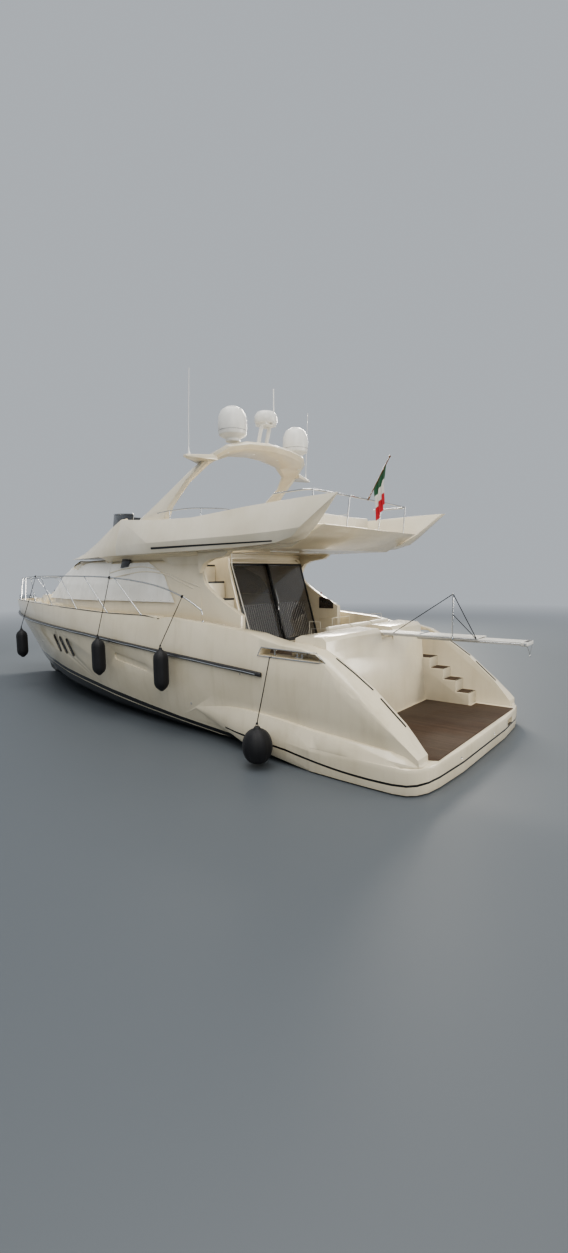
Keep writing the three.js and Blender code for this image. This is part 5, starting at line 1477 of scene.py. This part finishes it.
# Steel frame round the top of the windshield, with a stanchion wherever the front lies under it.
screen = {"half": ((7.90, 1.425, 4.665), (8.39, 1.39, 4.71), (9.02, 1.19, 4.76), (9.32, 0.76, 4.775),
                   (9.42, 0.0, 4.78)), "bar": 0.0135, "post": 0.009, "rake": 0.11, "base": 4.3}
top = [Vector(point) for point in screen["half"]] + [Vector((x, -y, z)) for x, y, z in screen["half"][-2::-1]]
pieces = [tube(smoothPath([point - Vector((0.006, 0, -0.006)) for point in top], 6), screen["bar"], 4)]
for point in top:
    foot = point.x + screen["rake"]
    hit, place, _, _ = shells["flyFront"].ray_cast((foot, point.y * 0.985, 5.2), (0, 0, -1))
    inner = Vector((-0.018, -0.016 * (1 if point.y > 0 else -1 if point.y < 0 else 0), 0))
    if hit and place.z < point.z - 0.1:
        share = max(0.0, (place.z - screen["base"]) / (point.z - screen["base"]))
        base = Vector((foot - screen["rake"] * share, point.y, place.z)) + inner
        pieces.append(tube([base, point + inner * 0.6], screen["post"], 3))
settle(joined(pieces), "windshieldFrame", steelFinish, "stainless", smooth=50)

# Downlights under the arch, and whip aerials on top of it.
archLight = {"x": 4.95, "y": (1.2, 0.4, -0.4, -1.2),
             "shape": [(0.0, 0.005), (0.026, 0.004), (0.034, 0.0), (0.034, -0.006)]}
aerial = {"x": 5.282, "y": 1.95, "line": ((0, 0.13), (-0.03, 0.8), (-0.08, 1.62)), "bar": 0.0055,
          "foot": [(0.0, -0.004), (0.03, -0.004), (0.03, 0.02), (0.014, 0.05), (0.011, 0.14), (0.0, 0.15)]}
pieces = []
for y in archLight["y"]:
    hit, place, normal, _ = shells["radarArch"].ray_cast((archLight["x"], y, 5.0), (0, 0, 1))
    if hit:
        pieces.append(spun(archLight["shape"], place, 18, normal))
settle(joined(pieces), "archLamps", lampFinish, "dome")
pieces = []
for side in (1, -1):
    place, _ = onTop(shells["radarArch"], aerial["x"], side * aerial["y"], 6.5)
    pieces.append(spun(aerial["foot"], place, 16))
    pieces.append(tube([place + Vector((out, 0, up)) for out, up in aerial["line"]], aerial["bar"], 2))
settle(joined(pieces), "whipAerials", whitePlasticFinish, "dome", smooth=60)

# A joint line round each dome.
dome = {"x": 4.93, "y": 1.06, "radius": 0.296, "joint": 6.12, "bar": 0.003, "out": 0.0008, "points": 40}
pieces = []
for side, title in sides.items():
    ring = []
    for i in range(dome["points"]):
        a = 2 * math.pi * i / dome["points"]
        away = Vector((math.cos(a), math.sin(a), 0))
        centre = Vector((dome["x"], side * dome["y"], dome["joint"]))
        hit, place, normal, _ = shells["dome" + title].ray_cast(centre + away, -away)
        ring.append(place + normal * dome["out"] if hit else centre + away * dome["radius"])
    pieces.append(tube(ring, dome["bar"], 2, closed=True))
settle(joined(pieces), "domeJoints", trimFinish, "rub_rail")

# Helm: screens, dials and throttles on the console's sloping top.
helm = {"at": (8.2, -0.65), "screens": (-0.42, -0.88), "screen": (0.2, 0.3, 0.014), "dials": 5, "pitch": 0.15,
        "firstDial": (0.17, -0.35),
        "dial": [(0.0, 0.004), (0.026, 0.004), (0.028, 0.007), (0.033, 0.006), (0.033, -0.005)],
        "levers": (-0.24, -0.29), "lever": 0.007,
        "knob": [(0.0, 0.0), (0.013, 0.003), (0.016, 0.014), (0.012, 0.026), (0.0, 0.03)]}
place, normal = onTop(shells["helmConsole"], *helm["at"], 5.4)
slope = Vector((normal.z, 0, -normal.x)).normalized()


def onDash(along, y, rise=0.0):
    return place + slope * along + Vector((0, y - helm["at"][1], 0)) + normal * rise


pieces, steel = [], []
for y in helm["screens"]:
    panel = block((0, 0, 0), helm["screen"], 0.006, 3)
    turn = Vector((0, 0, 1)).rotation_difference(normal).to_matrix().to_4x4()
    panel.matrix_world = Matrix.Translation(onDash(0.0, y, 0.004)) @ turn
    bake(panel)
    pieces.append(panel)
settle(joined(pieces), "helmScreens", panelFinish, "window")
for i in range(helm["dials"]):
    steel.append(spun(helm["dial"], onDash(helm["firstDial"][0], helm["firstDial"][1] - helm["pitch"] * i),
                      20, normal))
for y in helm["levers"]:
    base = onDash(-0.03, y)
    steel.append(tube([base, base + normal * 0.09 + slope * 0.02], helm["lever"], 3))
    steel.append(spun(helm["knob"], base + normal * 0.085 + slope * 0.02, 14, normal))
settle(joined(steel), "helmDials", steelFinish, "stainless", smooth=50)
print("details added")

# Floor at the waterline, soft room light and lamps.
stage = {"floor": (0.12, 0.135, 0.15), "world": (0.73, 0.775, 0.83), "worldPower": 0.58, "reach": 600,
         "fade": (14.0, 46.0)}


def addStage():
    floor = added(bpy.ops.mesh.primitive_plane_add, size=stage["reach"], location=(8, 0, 0))
    floor.name = "studioFloor"
    material, tree, shader, place = newFinish("paleFloor", stage["floor"], 0.5)
    # Far from the boat the floor takes on the room's own colour, so no horizon shows.
    apart = put(tree, "ShaderNodeVectorMath", {0: place}, operation="LENGTH").outputs["Value"]
    haze = put(tree, "ShaderNodeEmission", {"Color": (*stage["world"], 1), "Strength": stage["worldPower"]})
    mix = put(tree, "ShaderNodeMixShader", {0: ramp(tree, apart, *stage["fade"])})
    tree.links.new(shader.outputs[0], mix.inputs[1])
    tree.links.new(haze.outputs[0], mix.inputs[2])
    tree.links.new(mix.outputs[0], tree.nodes["Material Output"].inputs[0])
    floor.data.materials.append(material)
    world = bpy.data.worlds.new("softRoom")
    bpy.context.scene.world = world
    world.use_nodes = True
    world.node_tree.nodes["Background"].inputs[0].default_value = (*stage["world"], 1)
    world.node_tree.nodes["Background"].inputs[1].default_value = stage["worldPower"]


lamps = {
    "keySoft": {"place": (-14, 17, 17), "aim": (6, 0, 2), "size": 12, "power": 2200,
                "colour": (1.0, 0.955, 0.87)},
    "skySoft": {"place": (4, 4, 26), "aim": (6, 0, 0), "size": 20, "power": 4300,
                "colour": (1.0, 0.98, 0.94)},
    "rimSoft": {"place": (16, -20, 14), "aim": (7, 0, 3), "size": 10, "power": 7200,
                "colour": (1.0, 0.93, 0.82)},
    "sternSoft": {"place": (-17, -12, 5), "aim": (4, 0, 3), "size": 8, "power": 2000,
                  "colour": (1.0, 0.95, 0.86)},
}


def addLamps():
    for name, lamp in lamps.items():
        bpy.ops.object.light_add(type="AREA", location=lamp["place"])
        light = bpy.context.object
        light.name = name
        light.data.energy = lamp["power"]
        light.data.size = lamp["size"]
        light.data.color = lamp["colour"]
        light.rotation_mode = "QUATERNION"
        light.rotation_quaternion = (Vector(lamp["aim"]) - Vector(lamp["place"])).to_track_quat("-Z", "Y")


addStage()
addLamps()
bpy.context.scene.view_settings.view_transform = "AgX"
bpy.context.scene.view_settings.look = "AgX - Medium High Contrast"
bpy.context.scene.view_settings.exposure = 0.0
print("stage and lamps set")
